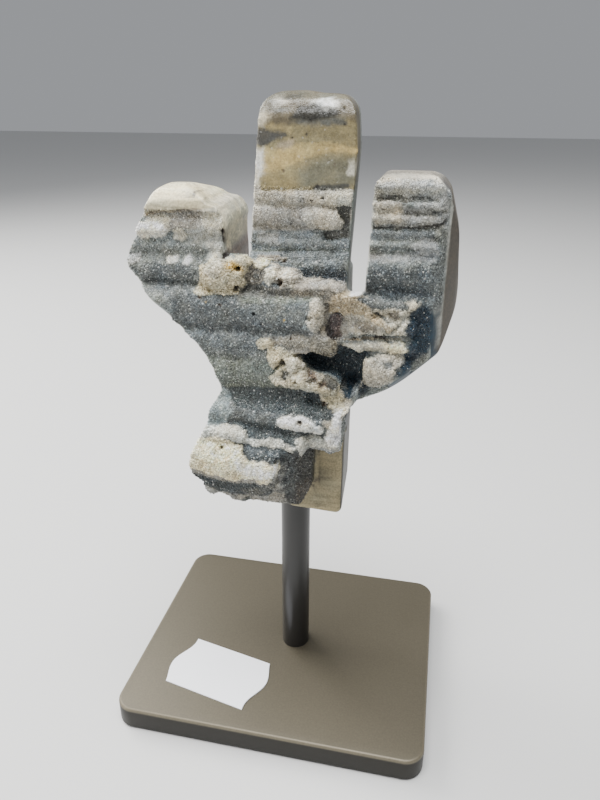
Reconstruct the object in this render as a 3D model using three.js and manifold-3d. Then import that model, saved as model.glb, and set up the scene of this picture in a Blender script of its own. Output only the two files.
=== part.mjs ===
// A cactus carved from a slab of druzy quartz stalactites, standing on a steel rod and base plate.
// Millimetres, +Z up. The origin is the middle of the base plate's underside and -Y is the front.
import * as THREE from 'three';
import { mergeVertices } from 'three/addons/utils/BufferGeometryUtils.js';
import Module from 'manifold-3d';

const wasm = await Module();
wasm.setup();

// ---- Driving dimensions -------------------------------------------------------------------------

const PLATE = { width: 77, depth: 63.5, thickness: 6.4, cornerRadius: 4.8, softEdge: 0.7 };
const ROD = { radius: 3.65, x: 1.5, y: 0.6, top: 84, sides: 32 };
const SOCKET = { clearance: 0.3, seat: 0.05 };
const LABEL = { length: 22.4, width: 16, wave: 1.8, thickness: 0.25, x: -15.8, y: -15.9, turn: -11.7 };
const LABEL_LIFT = 0.02;

// The stone: where its faces lie from front to back, and how its cut edges are rounded.
const BACK = 11.4;
const TRUNK = { left: -5.0, right: 14.9, top: 146.4, front: -16, cornerRadius: 4.4, taperToBack: 2.4 };
const FOOT = { left: -11.2, right: 14.3, bottom: 57.2, front: -8.6, step: 60.4, stepAt: 2.6 };
const LEFT_ARM = { tip: -31.4, wall: -10, top: 129.7, front: -16.4, roundDepth: 2, roundSize: 1 };
const RIGHT_ARM = { wall: 18, tip: 35.2, top: 133.4, front: -16.2, roundDepth: 5, roundSize: 2 };
const CRUST = { front: -19.8 };

// How the top of each limb is rounded from front to back, seen from its left side: [y, z].
const TRUNK_CROWN = [[-12.6, 140], [-12, 143.6], [-10.4, 145.6], [-7, 146.5], [2, 146.4], [7.6, 144.8]];
const LEFT_ARM_CROWN = [[-14.6, 126], [-13.2, 128.4], [-9.6, 129.6], [-4, 129.3], [2, 128], [8, 125.4]];
const RIGHT_ARM_CROWN = [[-13.6, 130.6], [-12, 132.6], [-8, 133.3], [-2, 133], [5, 131.8], [9.4, 129]];
const CROWN_DROP_AT_BACK = 4.5;
const LUMP = { left: -15.3, bottom: 64.2, top: 92, front: -25.4, back: -3 };

// Each ridge is one stalactite lying along X: [from, to, bottom, top, front].
const TRUNK_RIDGES = [
  [-8, 18, 126.3, 129.8, -12.4],
  [-8, 13.1, 122.0, 126.4, -12.6],
  [-8, 9.4, 120.2, 122.1, -12.0],
  [-8, 18, 118.1, 120.5, -12.2],
  [-8, 18, 111.4, 118.4, -13.1],
];
const LEFT_ARM_RIDGES = [
  [-34, -7, 119.5, 125.0, -14.3],
  [-34, -21.3, 120.1, 122.8, -14.9],
  [-34, -7, 116.2, 119.9, -14.1],
  [-34, -4, 109.3, 116.5, -15.2],
  [-34, 2, 103.4, 110.0, -15.9],
];
const RIGHT_ARM_RIDGES = [
  [16, 37, 128.9, 132.2, -13.2],
  [16, 37, 126.1, 128.8, -13.5],
  [16, 37, 123.6, 126.2, -13.4],
  [16, 37, 121.0, 123.5, -12.9],
  [16, 37, 118.7, 121.2, -13.2],
  [12, 32, 110.5, 118.8, -13.9],
  [12, 29, 106.6, 110.8, -14.9],
  [13, 28.4, 102.2, 106.9, -15.4],
  [13, 29, 98.9, 102.3, -15.1],
  [18.6, 28, 91.4, 99.2, -15.3],
  [9.4, 20, 103.4, 111.0, -14.8],
];
const CRUST_RIDGES = [
  [-1.6, 19, 109.6, 113.3, -16.8],
  [-30, 10.1, 102.3, 110.2, -18.2],
  [-26, 8.2, 96.3, 102.6, -18.6],
  [-20, 5.2, 90.9, 97.2, -19.2],
  [0.6, 14.4, 90.6, 95.6, -19.6],
  [-3.4, 6.2, 94.4, 100.4, -19.3],
  [-14, 17, 85.6, 91.2, -17.2],
];
const LUMP_RIDGES = [
  [-16, 18, 82.0, 88.6, -21.2],
  [2.2, 12.4, 83.3, 87.3, -21.8],
  [4.8, 18, 79.0, 83.0, -20.4],
  [-18, 8.0, 75.4, 83.1, -22.6],
  [-18, -3.9, 79.2, 83.6, -23.1],
  [-20, 3.9, 69.4, 80.4, -24.6],
  [-14.6, 1.2, 66.4, 72.4, -22.8],
  [-8.8, -4.6, 64.2, 68.4, -21.9],
];
// The back is worn flatter: [from, to, bottom, top, back].
const BACK_RIDGES = [
  [-8, 18, 127.6, 136.2, 11.2],
  [-8, 18, 117.4, 127.9, 10.9],
  [-36, -8, 118.2, 126.4, 11.0],
  [-36, 18, 108.6, 118.6, 11.6],
  [14, 38, 121.2, 129.4, 11.0],
  [10, 38, 110.4, 121.5, 11.5],
  [-30, 30, 99.2, 109.4, 11.1],
  [-24, 36, 91.0, 99.6, 11.6],
  [-13, 18, 79.8, 91.4, 11.2],
  [-13, 18, 70.6, 80.2, 11.5],
  [-13, 18, 61.4, 71.2, 10.9],
];
// Rounded lumps of pale crust: [x, y, z, half width, half depth, half height].
const CRUST_LUMPS = [
  [-9.6, -15.2, 113.2, 5.0, 2.4, 3.5],
  [-11.6, -14.6, 115.6, 2.2, 2.0, 1.6],
  [-6.2, -14.8, 115.9, 2.5, 2.0, 1.5],
  [0.6, -15.2, 114.3, 2.2, 2.2, 1.5],
  [13.4, -14.2, 110.2, 4.6, 2.8, 2.1],
  [9.8, -14.4, 101.0, 3.6, 3.6, 3.1],
  [25.4, -12.4, 108.4, 3.2, 2.9, 2.2],
  [22.6, -12.6, 95.8, 3.8, 3.2, 4.4],
  [13.1, -17.6, 81.6, 1.7, 3.2, 4.6],
  [-13.2, -20.6, 74.6, 2.5, 3.6, 4.0],
  [-12.1, -20.8, 68.1, 1.7, 1.8, 1.9],
];
// Holes in the natural front: [x, y, z, half width, half depth, half height].
const PITS = [
  [-6.4, -17.4, 115.0, 0.8, 1.8, 0.7],
  [-7.4, -17.8, 111.0, 0.7, 1.6, 0.8],
  [1.8, -17.2, 112.4, 0.8, 1.4, 0.6],
  [-3.0, -16.6, 113.0, 2.0, 2.4, 2.0],
  [8.1, -18.4, 106.3, 0.6, 1.2, 0.6],
  [12.8, -17.6, 105.4, 1.6, 3.4, 2.7],
  [2.1, -19.5, 96.2, 0.9, 1.6, 0.8],
  [9.2, -19.6, 93.8, 0.9, 1.2, 0.8],
  [-10.3, -24.4, 78.4, 0.5, 1.4, 0.9],
  [-9.9, -14.6, 119.0, 0.8, 2.0, 1.9],
  [9.0, -12.6, 128.2, 0.6, 1.0, 0.5],
];
// The dark hollow under the crust, seen from the front, and how far back it goes.
const HOLLOW_OUTLINE = [
  [4.6, 98.9], [7.2, 96.5], [9.6, 95.3], [12.2, 94.6], [14.2, 92.2], [15.6, 89.6],
  [17.8, 91.6], [19.4, 95.4], [18.6, 98.9], [13.8, 100.1], [12.4, 98.3], [8.8, 100.2],
];
const HOLLOW_BACK = -10.4;

const RIDGE_SIDES = 8;
const RIDGE_STEP = 4;
const RIDGE_HALF_DEPTH = 4;
const RIDGE_SQUARENESS = 2.6;

// ---- Making and joining solids ------------------------------------------------------------------

function toSolid(geometry) {
  const bare = geometry.clone();
  bare.deleteAttribute('normal');
  bare.deleteAttribute('uv');
  const merged = mergeVertices(bare, 1e-3);
  return new wasm.Manifold(new wasm.Mesh({
    numProp: 3,
    vertProperties: new Float32Array(merged.attributes.position.array),
    triVerts: new Uint32Array(merged.index.array),
  }));
}

function toGeometry(solid) {
  const mesh = solid.getMesh();
  const geometry = new THREE.BufferGeometry();
  geometry.setAttribute('position', new THREE.BufferAttribute(mesh.vertProperties, 3));
  geometry.setIndex(new THREE.BufferAttribute(mesh.triVerts, 1));
  return geometry;
}

function join(solids) {
  return solids.reduce((all, next) => all.add(next));
}

// Keeps the one big closed skin, so that no sealed pore or loose crumb is left.
function wholePiece(solid) {
  return solid.decompose().reduce((biggest, next) => (next.volume() > biggest.volume() ? next : biggest));
}

// Moves every point of a geometry by a rule.
function reshape(geometry, rule) {
  const position = geometry.attributes.position;
  const point = new THREE.Vector3();
  for (let i = 0; i < position.count; i += 1) {
    point.fromBufferAttribute(position, i);
    rule(point);
    position.setXYZ(i, point.x, point.y, point.z);
  }
  return geometry;
}

// A closed counterclockwise outline with corners [a, b, radius], each rounded by an arc if it has a radius.
function roundedOutline(corners) {
  const shape = new THREE.Shape();
  corners.forEach(([a, b, wantedRadius = 0], i) => {
    const corner = new THREE.Vector2(a, b);
    const before = new THREE.Vector2(...corners.at(i - 1)).sub(corner);
    const after = new THREE.Vector2(...corners[(i + 1) % corners.length]).sub(corner);
    const room = 0.49 * Math.min(before.length(), after.length());
    before.normalize();
    after.normalize();
    const halfAngle = Math.acos(THREE.MathUtils.clamp(before.dot(after), -1, 1)) / 2;
    const radius = Math.min(wantedRadius, room * Math.tan(halfAngle));
    const start = corner.clone().addScaledVector(before, radius / Math.tan(halfAngle));
    if (i === 0) shape.moveTo(start.x, start.y);
    else shape.lineTo(start.x, start.y);
    if (radius > 0) {
      const inward = before.clone().add(after).normalize();
      const centre = corner.clone().addScaledVector(inward, radius / Math.sin(halfAngle));
      const end = corner.clone().addScaledVector(after, radius / Math.tan(halfAngle));
      const startAngle = start.clone().sub(centre).angle();
      const endAngle = end.clone().sub(centre).angle();
      shape.absarc(centre.x, centre.y, radius, startAngle, endAngle, before.cross(after) > 0);
    }
  });
  shape.closePath();
  return shape;
}

// An outline in X and Z, extruded from front to back, with both rims rounded where a size is given.
function slab(corners, front, back, roundSize = 0, roundDepth = 0) {
  const geometry = new THREE.ExtrudeGeometry(roundedOutline(corners), {
    depth: back - front - 2 * roundDepth,
    curveSegments: 2,
    bevelEnabled: roundSize > 0,
    bevelSize: roundSize,
    bevelOffset: -roundSize,
    bevelThickness: roundDepth,
    bevelSegments: 3,
  });
  geometry.rotateX(Math.PI / 2);
  geometry.translate(0, back - roundDepth, 0);
  return geometry;
}

// A profile in Y and Z, extruded from left to right.
function bar(profile, left, right) {
  const geometry = new THREE.ExtrudeGeometry(roundedOutline(profile), {
    depth: right - left,
    curveSegments: 2,
    bevelEnabled: false,
  });
  const turned = new THREE.Matrix4().makeBasis(
    new THREE.Vector3(0, 1, 0),
    new THREE.Vector3(0, 0, 1),
    new THREE.Vector3(1, 0, 0),
  );
  geometry.applyMatrix4(turned);
  geometry.translate(left, 0, 0);
  return geometry;
}

// Slow unevenness along a ridge, from -1 to 1.
function unevenness(x, seed) {
  return 0.6 * Math.sin(0.55 * x + 2.1 * seed) + 0.4 * Math.sin(1.37 * x + 5.3 * seed);
}

// One lying stalactite: a lathe-turned bar along X, squared in section, uneven, with blunt ends.
function ridge([from, to, bottom, top, face], seed, side = -1) {
  const blunt = 0.6;
  const steps = Math.max(2, Math.round((to - from) / RIDGE_STEP));
  const profile = [new THREE.Vector2(0, from), new THREE.Vector2(0.74, from)];
  for (let i = 0; i <= steps; i += 1) {
    const x = THREE.MathUtils.lerp(from + blunt, to - blunt, i / steps);
    profile.push(new THREE.Vector2(1, x));
  }
  profile.push(new THREE.Vector2(0.74, to), new THREE.Vector2(0, to));
  const geometry = new THREE.LatheGeometry(profile, RIDGE_SIDES);
  geometry.rotateZ(-Math.PI / 2);
  const halfHeight = (top - bottom) / 2;
  const middle = (top + bottom) / 2;
  const axis = face - side * RIDGE_HALF_DEPTH;
  const squared = (value) => Math.sign(value) * Math.abs(value) ** (2 / RIDGE_SQUARENESS);
  return reshape(geometry, (point) => {
    const radius = Math.hypot(point.y, point.z);
    const angle = Math.atan2(point.z, point.y);
    const swell = 1 + 0.05 * unevenness(point.x, seed);
    point.y = axis + squared(Math.cos(angle)) * radius * RIDGE_HALF_DEPTH * swell;
    point.z = middle + squared(Math.sin(angle)) * radius * halfHeight * 1.03
      + 0.16 * unevenness(point.x, seed + 7);
  });
}

function ball([x, y, z, halfWidth, halfDepth, halfHeight], detail, seed) {
  const geometry = new THREE.IcosahedronGeometry(1, detail);
  return reshape(geometry, (point) => {
    const swell = 1 + 0.12 * Math.sin(9 * point.x + 5 * point.z + 1.7 * seed);
    point.multiplyScalar(swell);
    point.set(x + point.x * halfWidth, y + point.y * halfDepth, z + point.z * halfHeight);
  });
}

// ---- The stone ----------------------------------------------------------------------------------

// Everything under a limb's crown line, from its front to its back.
function crowned(crown) {
  const [lastY, lastZ] = crown.at(-1);
  const profile = [[-30, 50], [BACK, 50], [BACK, lastZ - CROWN_DROP_AT_BACK], [lastY, lastZ]];
  const frontwards = crown.slice(0, -1).reverse();
  return toSolid(bar([...profile, ...frontwards, [-30, crown[0][1] - 1]], -60, 60));
}

// The carved outline: smooth limbs that everything natural is cut to.
function trunkLimb() {
  const { left, right, top, front, cornerRadius, taperToBack } = TRUNK;
  const outline = [
    [left - 0.4, 84],
    [right - 0.2, 84],
    [right, 112],
    [right + 1.1, 137, 12],
    [right + 0.6, top - 0.3, cornerRadius],
    [5.6, top - 0.7, 2],
    [3, top, 2],
    [left + 1.2, top - 0.2, cornerRadius + 1],
    [left + 1.2, 137, 6],
    [left, 117],
  ];
  const sawn = reshape(slab(outline, front, BACK), (point) => {
    const across = (point.x - left) / (right - left);
    const towardsBack = (point.y - front) / (BACK - front);
    point.x -= taperToBack * across * towardsBack;
  });
  return toSolid(sawn).intersect(crowned(TRUNK_CROWN));
}

function footLimb() {
  const { left, right, bottom, front, step, stepAt } = FOOT;
  const outline = [
    [stepAt, bottom, 1],
    [right, bottom, 1.2],
    [right + 0.3, 92],
    [left, 92],
    [left - 0.6, 80, 3],
    [left, step, 3],
    [stepAt - 0.8, step - 0.6, 0.6],
  ];
  return toSolid(reshape(slab(outline, front, BACK, 0.8, 1), (point) => {
    const towardsBack = (point.y - front) / (BACK - front);
    point.x -= 0.05 * towardsBack * (point.x - left);
  }));
}

function leftLimb() {
  const { tip, wall, top, front, roundDepth, roundSize } = LEFT_ARM;
  const outline = [
    [4, 86],
    [4, top],
    [-25.8, top, 4.4],
    [tip, 115, 4],
    [-26.4, 107.4, 8],
    [-16, 99.9, 8],
    [-12.4, 95.2, 5],
    [-10.6, 86],
  ];
  const gap = [
    [wall, 115.4],
    [TRUNK.left - 0.2, 115.4],
    [TRUNK.left + 3, top + 4],
    [wall - 3.4, top + 4],
    [wall - 3.4, top, 1],
    [wall - 0.2, top - 1.4, 1.6],
    [wall, top - 4.4, 1],
  ];
  const arm = toSolid(slab(outline, front, BACK, roundSize, roundDepth)).intersect(crowned(LEFT_ARM_CROWN));
  const cut = reshape(slab(gap, front - 8, BACK + 6), (point) => {
    const towardsBack = Math.max(0, (point.y - front) / (BACK - front));
    if (point.x < wall + 0.5) point.x -= 2.6 * towardsBack;
  });
  return arm.subtract(toSolid(cut));
}

function rightLimb() {
  const { wall, tip, top, front, roundDepth, roundSize } = RIGHT_ARM;
  const outline = [
    [4, 83],
    [15, 86, 8],
    [25, 90.6, 14],
    [33, 97, 12],
    [tip + 0.2, 107, 14],
    [tip - 0.6, 121, 14],
    [31.4, top, 5],
    [4, top],
  ];
  const gap = [
    [8, 111],
    [wall, 111],
    [wall + 1.3, 130.6],
    [wall + 2.4, top, 1],
    [wall + 2.6, top + 4],
    [wall - 12, top + 4],
  ];
  const bulgingSide = new THREE.ExtrudeGeometry(roundedOutline([
    [-4, front - 1],
    [29, front - 1],
    [32, -13, 6],
    [34, -9, 8],
    [tip, -3, 12],
    [tip, 4, 12],
    [tip - 1, BACK + 1],
    [-4, BACK + 1],
  ]), { depth: 60, curveSegments: 2, bevelEnabled: false });
  bulgingSide.translate(0, 0, 80);
  const roundedUnderside = slab([
    [-20, 70],
    [24.4, 88.6, 26],
    [37, 101.6, 20],
    [48, 150],
    [-20, 150],
  ], front - 1, BACK, 8, 11);
  return toSolid(slab(outline, front, BACK, roundSize, roundDepth))
    .intersect(crowned(RIGHT_ARM_CROWN))
    .intersect(toSolid(bulgingSide))
    .intersect(toSolid(roundedUnderside))
    .subtract(toSolid(slab(gap, front - 8, BACK + 6)));
}

// Room for the crust that stands forward of the limbs, and for the lump at the lower left.
function crustLimb() {
  const outline = [
    [-9.4, 88],
    [15, 86],
    [20, 92, 3],
    [19, 112, 3],
    [9, 116],
    [-14.6, 117.4, 2],
    [-18.6, 109, 3],
    [-22, 104.4, 3],
    [-16, 99.9, 4],
    [-12.6, 94.6, 3],
  ];
  return toSolid(slab(outline, CRUST.front, -6, 1.2, 1.6));
}

function lumpLimb() {
  const { left, bottom, top, front, back } = LUMP;
  const outline = [
    [-8.8, top],
    [left, 77.4, 5],
    [-13.8, bottom + 1, 2.8],
    [6.6, bottom, 2.4],
    [8, 78.4],
    [15, 78.4],
    [14.9, top],
  ];
  return toSolid(slab(outline, front, back, 1.4, 2));
}

// The mass behind the ridges, a little lower than they are.
function core() {
  const trunk = bar([
    [BACK - 1, 50], [BACK - 1, 150], [-11.9, 150], [-11.9, 129.4],
    [-11.2, 129], [-11.2, 111], [-15.6, 110], [-15.6, 88], [-8.6, 86], [-8.6, 50],
  ], -14, 18);
  const armProfile = [
    [BACK - 1, 80], [BACK - 1, 140], [-14, 140], [-14, 125.2],
    [-12.6, 124.4], [-13.1, 110], [-14, 109], [-12, 80],
  ];
  const leftArm = bar(armProfile, -36, -9);
  const rightProfile = [
    [BACK - 1, 80], [BACK - 1, 140], [-12.2, 140], [-12.2, 118], [-12.8, 109], [-11.5, 80],
  ];
  const rightArm = bar(rightProfile, 17, 38);
  const lump = bar([[-6, 65], [-6, 92], [-18.6, 92], [-20.6, 80], [-21.4, 70], [-18, 66.6]], -20, 6.6);
  const lumpTop = bar([[-6, 79.4], [-6, 92], [-17.4, 92], [-18.4, 79.4]], -20, 18);
  return join([trunk, leftArm, rightArm, lump, lumpTop].map(toSolid));
}

function frontRidges() {
  const all = [
    ...TRUNK_RIDGES, ...LEFT_ARM_RIDGES, ...RIGHT_ARM_RIDGES, ...CRUST_RIDGES, ...LUMP_RIDGES,
  ];
  return join(all.map((row, i) => toSolid(ridge(row, i))));
}

function backRidges() {
  return join(BACK_RIDGES.map((row, i) => toSolid(ridge(row, i + 50, 1))));
}

function rodHole() {
  const radius = ROD.radius + SOCKET.clearance;
  const depth = ROD.top + SOCKET.seat - 40;
  const hole = new THREE.CylinderGeometry(radius, radius, depth, ROD.sides);
  hole.rotateX(Math.PI / 2);
  hole.translate(ROD.x, ROD.y, 40 + depth / 2);
  return toSolid(hole);
}

function cactusStone() {
  const limbs = join([trunkLimb(), footLimb(), leftLimb(), rightLimb(), crustLimb(), lumpLimb()]);
  const natural = join([
    core(),
    frontRidges(),
    backRidges(),
    ...CRUST_LUMPS.map((row, i) => toSolid(ball(row, 1, i))),
  ]);
  const holes = join([
    toSolid(slab(HOLLOW_OUTLINE, -30, HOLLOW_BACK)),
    ...PITS.map((row, i) => toSolid(ball(row, 0, i))),
    rodHole(),
  ]);
  return toGeometry(wholePiece(natural.intersect(limbs).subtract(holes)));
}

// ---- The stand ----------------------------------------------------------------------------------

function basePlate() {
  const { width, depth, thickness, cornerRadius, softEdge } = PLATE;
  const x = width / 2;
  const y = depth / 2;
  const outline = roundedOutline([
    [x, -y, cornerRadius * 1.2],
    [x, y, cornerRadius * 1.2],
    [-x, y, cornerRadius * 1.2],
    [-x, -y, cornerRadius * 1.2],
  ]);
  const geometry = new THREE.ExtrudeGeometry(outline, {
    depth: thickness - 2 * softEdge,
    curveSegments: 6,
    bevelSize: softEdge,
    bevelOffset: -softEdge,
    bevelThickness: softEdge,
    bevelSegments: 3,
  });
  geometry.translate(0, 0, softEdge);
  return geometry;
}

function uprightRod() {
  const height = ROD.top - PLATE.thickness;
  const geometry = new THREE.CylinderGeometry(ROD.radius, ROD.radius, height, ROD.sides);
  geometry.rotateX(Math.PI / 2);
  geometry.translate(ROD.x, ROD.y, PLATE.thickness + height / 2);
  return geometry;
}

// A paper label with straight long edges and a wave cut into each short end.
function priceLabel() {
  const { length, width, wave, thickness } = LABEL;
  const x = length / 2;
  const y = width / 2;
  const shape = new THREE.Shape();
  shape.moveTo(-x, -y);
  shape.lineTo(x, -y);
  shape.bezierCurveTo(x, -y * 0.5, x + wave * 1.6, -y * 0.5, x + wave, 0);
  shape.bezierCurveTo(x + wave * 0.4, y * 0.5, x, y * 0.5, x, y);
  shape.lineTo(-x, y);
  shape.bezierCurveTo(-x, y * 0.5, -x - wave * 1.6, y * 0.5, -x - wave, 0);
  shape.bezierCurveTo(-x - wave * 0.4, -y * 0.5, -x, -y * 0.5, -x, -y);
  return new THREE.ExtrudeGeometry(shape, { depth: thickness, curveSegments: 5, bevelEnabled: false });
}

// ---- The finished object ------------------------------------------------------------------------

function named(name, geometry, material) {
  const mesh = new THREE.Mesh(geometry, new THREE.MeshStandardMaterial(material));
  mesh.name = name;
  return mesh;
}

const bronzeSteel = { color: 0x84796a, roughness: 0.45, metalness: 0.8 };
const plate = named('base_plate', basePlate(), bronzeSteel);
const rod = named('rod', uprightRod(), { color: 0x4a4a4a, roughness: 0.4, metalness: 0.9 });
const stone = named('cactus_stone', cactusStone(), { color: 0x7b7f7a, roughness: 0.6, metalness: 0 });
const label = named('price_label', priceLabel(), { color: 0xe6e8ee, roughness: 0.7, metalness: 0 });
label.position.set(LABEL.x, LABEL.y, PLATE.thickness + LABEL_LIFT);
label.rotation.z = THREE.MathUtils.degToRad(LABEL.turn);

const cactus = new THREE.Group();
cactus.add(plate, rod, stone, label);

export default cactus;
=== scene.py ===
"""A cactus carved from a slab of druzy quartz stalactites, standing on a steel rod and base plate.

Lengths in the tables are millimetres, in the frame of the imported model: +X right, +Z up, -Y the
front. MM turns them into Blender's metres as each mesh is made. Seen places are pixels of the main
view, and VIEW carries them to an upright plane of that frame.
"""
import logging
import math
from collections.abc import Callable
from dataclasses import dataclass
from enum import Enum

import bmesh
import bpy
import numpy as np
from mathutils import Euler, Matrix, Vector, noise
from mathutils.bvhtree import BVHTree


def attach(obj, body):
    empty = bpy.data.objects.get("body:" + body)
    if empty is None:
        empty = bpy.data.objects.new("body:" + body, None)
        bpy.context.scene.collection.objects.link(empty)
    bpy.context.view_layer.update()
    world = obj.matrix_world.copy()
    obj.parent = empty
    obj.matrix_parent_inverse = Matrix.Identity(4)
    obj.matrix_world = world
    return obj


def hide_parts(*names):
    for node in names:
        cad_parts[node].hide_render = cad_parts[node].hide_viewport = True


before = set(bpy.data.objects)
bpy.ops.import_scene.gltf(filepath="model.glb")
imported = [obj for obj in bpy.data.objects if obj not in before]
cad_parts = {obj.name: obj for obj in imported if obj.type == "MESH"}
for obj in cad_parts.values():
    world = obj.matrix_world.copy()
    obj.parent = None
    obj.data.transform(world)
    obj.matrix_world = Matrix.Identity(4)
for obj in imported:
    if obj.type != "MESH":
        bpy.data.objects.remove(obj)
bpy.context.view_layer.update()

MM = 0.001
ROOT = "root"
LOG = logging.getLogger("cactus")

Corner = tuple[float, ...]
Numbers = tuple[float, ...]


# ---- Small tools -----------------------------------------------------------------------------------


def activate(piece: bpy.types.Object) -> None:
    """Makes one object the only selected and active one.

    Args:
        piece: the object.
    """
    bpy.ops.object.select_all(action="DESELECT")
    piece.select_set(True)
    bpy.context.view_layer.objects.active = piece


def new_piece(name: str, points: np.ndarray, faces: list[list[int]]) -> bpy.types.Object:
    """Makes a mesh object from points in millimetres.

    Args:
        name: the object's name.
        points: N x 3 places in millimetres.
        faces: lists of point numbers, each turning counterclockwise seen from outside.

    Returns:
        The new object, linked and active.
    """
    mesh = bpy.data.meshes.new(name)
    mesh.from_pydata((np.asarray(points, dtype=float) * MM).tolist(), [], faces)
    mesh.update()
    piece = bpy.data.objects.new(name, mesh)
    bpy.context.scene.collection.objects.link(piece)
    activate(piece)
    return piece


def read_vectors(items: bpy.types.bpy_prop_collection, name: str) -> np.ndarray:
    """Reads one vector of each item of a mesh.

    Args:
        items: the mesh's points or point normals.
        name: the vector's own name.

    Returns:
        N x 3 numbers.
    """
    flat = np.empty(len(items) * 3)
    items.foreach_get(name, flat)
    return flat.reshape(-1, 3)


def read_points(piece: bpy.types.Object) -> np.ndarray:
    """Returns a mesh's points in millimetres, N x 3."""
    return read_vectors(piece.data.vertices, "co") / MM


def read_normals(piece: bpy.types.Object) -> np.ndarray:
    """Returns a mesh's point normals, N x 3."""
    return read_vectors(piece.data.vertex_normals, "vector")


def write_points(piece: bpy.types.Object, points: np.ndarray) -> None:
    """Puts points in millimetres back into a mesh."""
    piece.data.vertices.foreach_set("co", (points * MM).ravel())
    piece.data.update()


def apply_modifier(piece: bpy.types.Object, kind: str, **settings: object) -> None:
    """Adds one modifier to an object and applies it.

    Args:
        piece: the object to change.
        kind: Blender's name of the modifier type.
        settings: the modifier's own settings.
    """
    activate(piece)
    bpy.ops.object.modifier_add(type=kind)
    modifier = piece.modifiers[-1]
    for name, value in settings.items():
        setattr(modifier, name, value)
    bpy.ops.object.modifier_apply(modifier=modifier.name)


def combine(piece: bpy.types.Object, other: bpy.types.Object, operation: str) -> bpy.types.Object:
    """Joins, cuts or intersects two closed solids and removes the second one.

    Args:
        piece: the solid that is kept and changed.
        other: the solid it is combined with.
        operation: UNION, DIFFERENCE or INTERSECT.

    Returns:
        The changed first solid.
    """
    apply_modifier(piece, "BOOLEAN", operation=operation, solver="MANIFOLD", object=other)
    bpy.data.objects.remove(other, do_unlink=True)
    return piece


def gather(name: str, pieces: list[bpy.types.Object]) -> bpy.types.Object:
    """Makes one object of many, each keeping its own shell.

    Args:
        name: the new object's name.
        pieces: the objects, which are used up.

    Returns:
        The joined object.
    """
    activate(pieces[0])
    for piece in pieces[1:]:
        piece.select_set(True)
    bpy.ops.object.join()
    rename(pieces[0], name)
    return pieces[0]


def rename(piece: bpy.types.Object, name: str) -> None:
    """Gives an object and its mesh one name."""
    piece.name = name
    piece.data.name = name


def store(piece: bpy.types.Object, name: str, values: np.ndarray) -> None:
    """Stores one number or one colour per point on a mesh.

    Args:
        piece: the object.
        name: the attribute's name.
        values: N numbers, or N x 4 colours.
    """
    wide = values.ndim > 1
    layer = piece.data.attributes.new(name, "FLOAT_COLOR" if wide else "FLOAT", "POINT")
    flat = np.ascontiguousarray(values, dtype=float).ravel()
    layer.data.foreach_set("color" if wide else "value", flat)


def fetch(piece: bpy.types.Object, name: str, wide: bool = False) -> np.ndarray:
    """Reads back what store put on a mesh.

    Args:
        piece: the object.
        name: the attribute's name.
        wide: whether it holds colours.

    Returns:
        N numbers, or N x 4 colours.
    """
    values = np.empty(len(piece.data.vertices) * (4 if wide else 1))
    piece.data.attributes[name].data.foreach_get("color" if wide else "value", values)
    return values.reshape(-1, 4) if wide else values


def smooth_step(low: float, high: float, value: np.ndarray) -> np.ndarray:
    """Returns 0 below low, 1 above high and a smooth ramp between them."""
    t = np.clip((value - low) / (high - low), 0.0, 1.0)
    return t * t * (3.0 - 2.0 * t)


def between(rise: Numbers, fall: Numbers, value: np.ndarray) -> np.ndarray:
    """Returns 1 between a rising and a falling ramp, each given by its ends, and 0 beyond them."""
    return smooth_step(*rise, value) * (1.0 - smooth_step(*fall, value))


def wander(points: np.ndarray, pitch: float, seed: float) -> np.ndarray:
    """Returns a smooth random vector for each point.

    Args:
        points: N x 3 places in millimetres.
        pitch: how far apart the waves lie, in millimetres.
        seed: shifts the pattern, so that two uses differ.

    Returns:
        N x 3 numbers, each about -1 to 1.
    """
    shifted = (points / pitch + seed * 17.31).tolist()
    return np.array([noise.noise_vector(p) for p in shifted])


def grain(points: np.ndarray, pitch: float, seed: float) -> np.ndarray:
    """Returns one smooth random number for each point, about -1 to 1."""
    shifted = (points / pitch + seed * 9.73).tolist()
    return np.array([noise.noise(p) for p in shifted])


def pebbles(points: np.ndarray, pitch: float) -> np.ndarray:
    """Returns how far each point is from the nearest of many scattered middles, in pitches."""
    return np.sqrt([noise.voronoi(p)[0][0] for p in (points / pitch).tolist()])


# ---- Outlines and the solids made from them ---------------------------------------------------------


def rounded_outline(corners: list[Corner], arc_step: float = 0.45) -> np.ndarray:
    """Rounds the corners of a counterclockwise outline with arcs.

    Args:
        corners: (a, b) or (a, b, radius) in millimetres.
        arc_step: the longest chord along an arc.

    Returns:
        The outline's points, N x 2.
    """
    outline: list[np.ndarray] = []
    for i, corner in enumerate(corners):
        place = np.array(corner[:2], dtype=float)
        before = np.array(corners[i - 1][:2]) - place
        after = np.array(corners[(i + 1) % len(corners)][:2]) - place
        room = 0.49 * min(np.linalg.norm(before), np.linalg.norm(after))
        before /= np.linalg.norm(before)
        after /= np.linalg.norm(after)
        half_angle = math.acos(float(np.clip(before @ after, -1, 1))) / 2
        wanted = corner[2] if len(corner) > 2 else 0.0
        radius = min(wanted, room * math.tan(half_angle))
        if radius <= 0:
            outline.append(place)
            continue
        inward = (before + after) / np.linalg.norm(before + after)
        centre = place + inward * radius / math.sin(half_angle)
        start = place + before * radius / math.tan(half_angle) - centre
        turn = math.pi - 2 * half_angle
        if before[0] * after[1] - before[1] * after[0] > 0:
            turn = -turn
        steps = max(2, math.ceil(radius * abs(turn) / arc_step))
        for k in range(steps + 1):
            angle = turn * k / steps
            cos, sin = math.cos(angle), math.sin(angle)
            outline.append(centre + (start[0] * cos - start[1] * sin, start[0] * sin + start[1] * cos))
    return np.array(outline)


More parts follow.
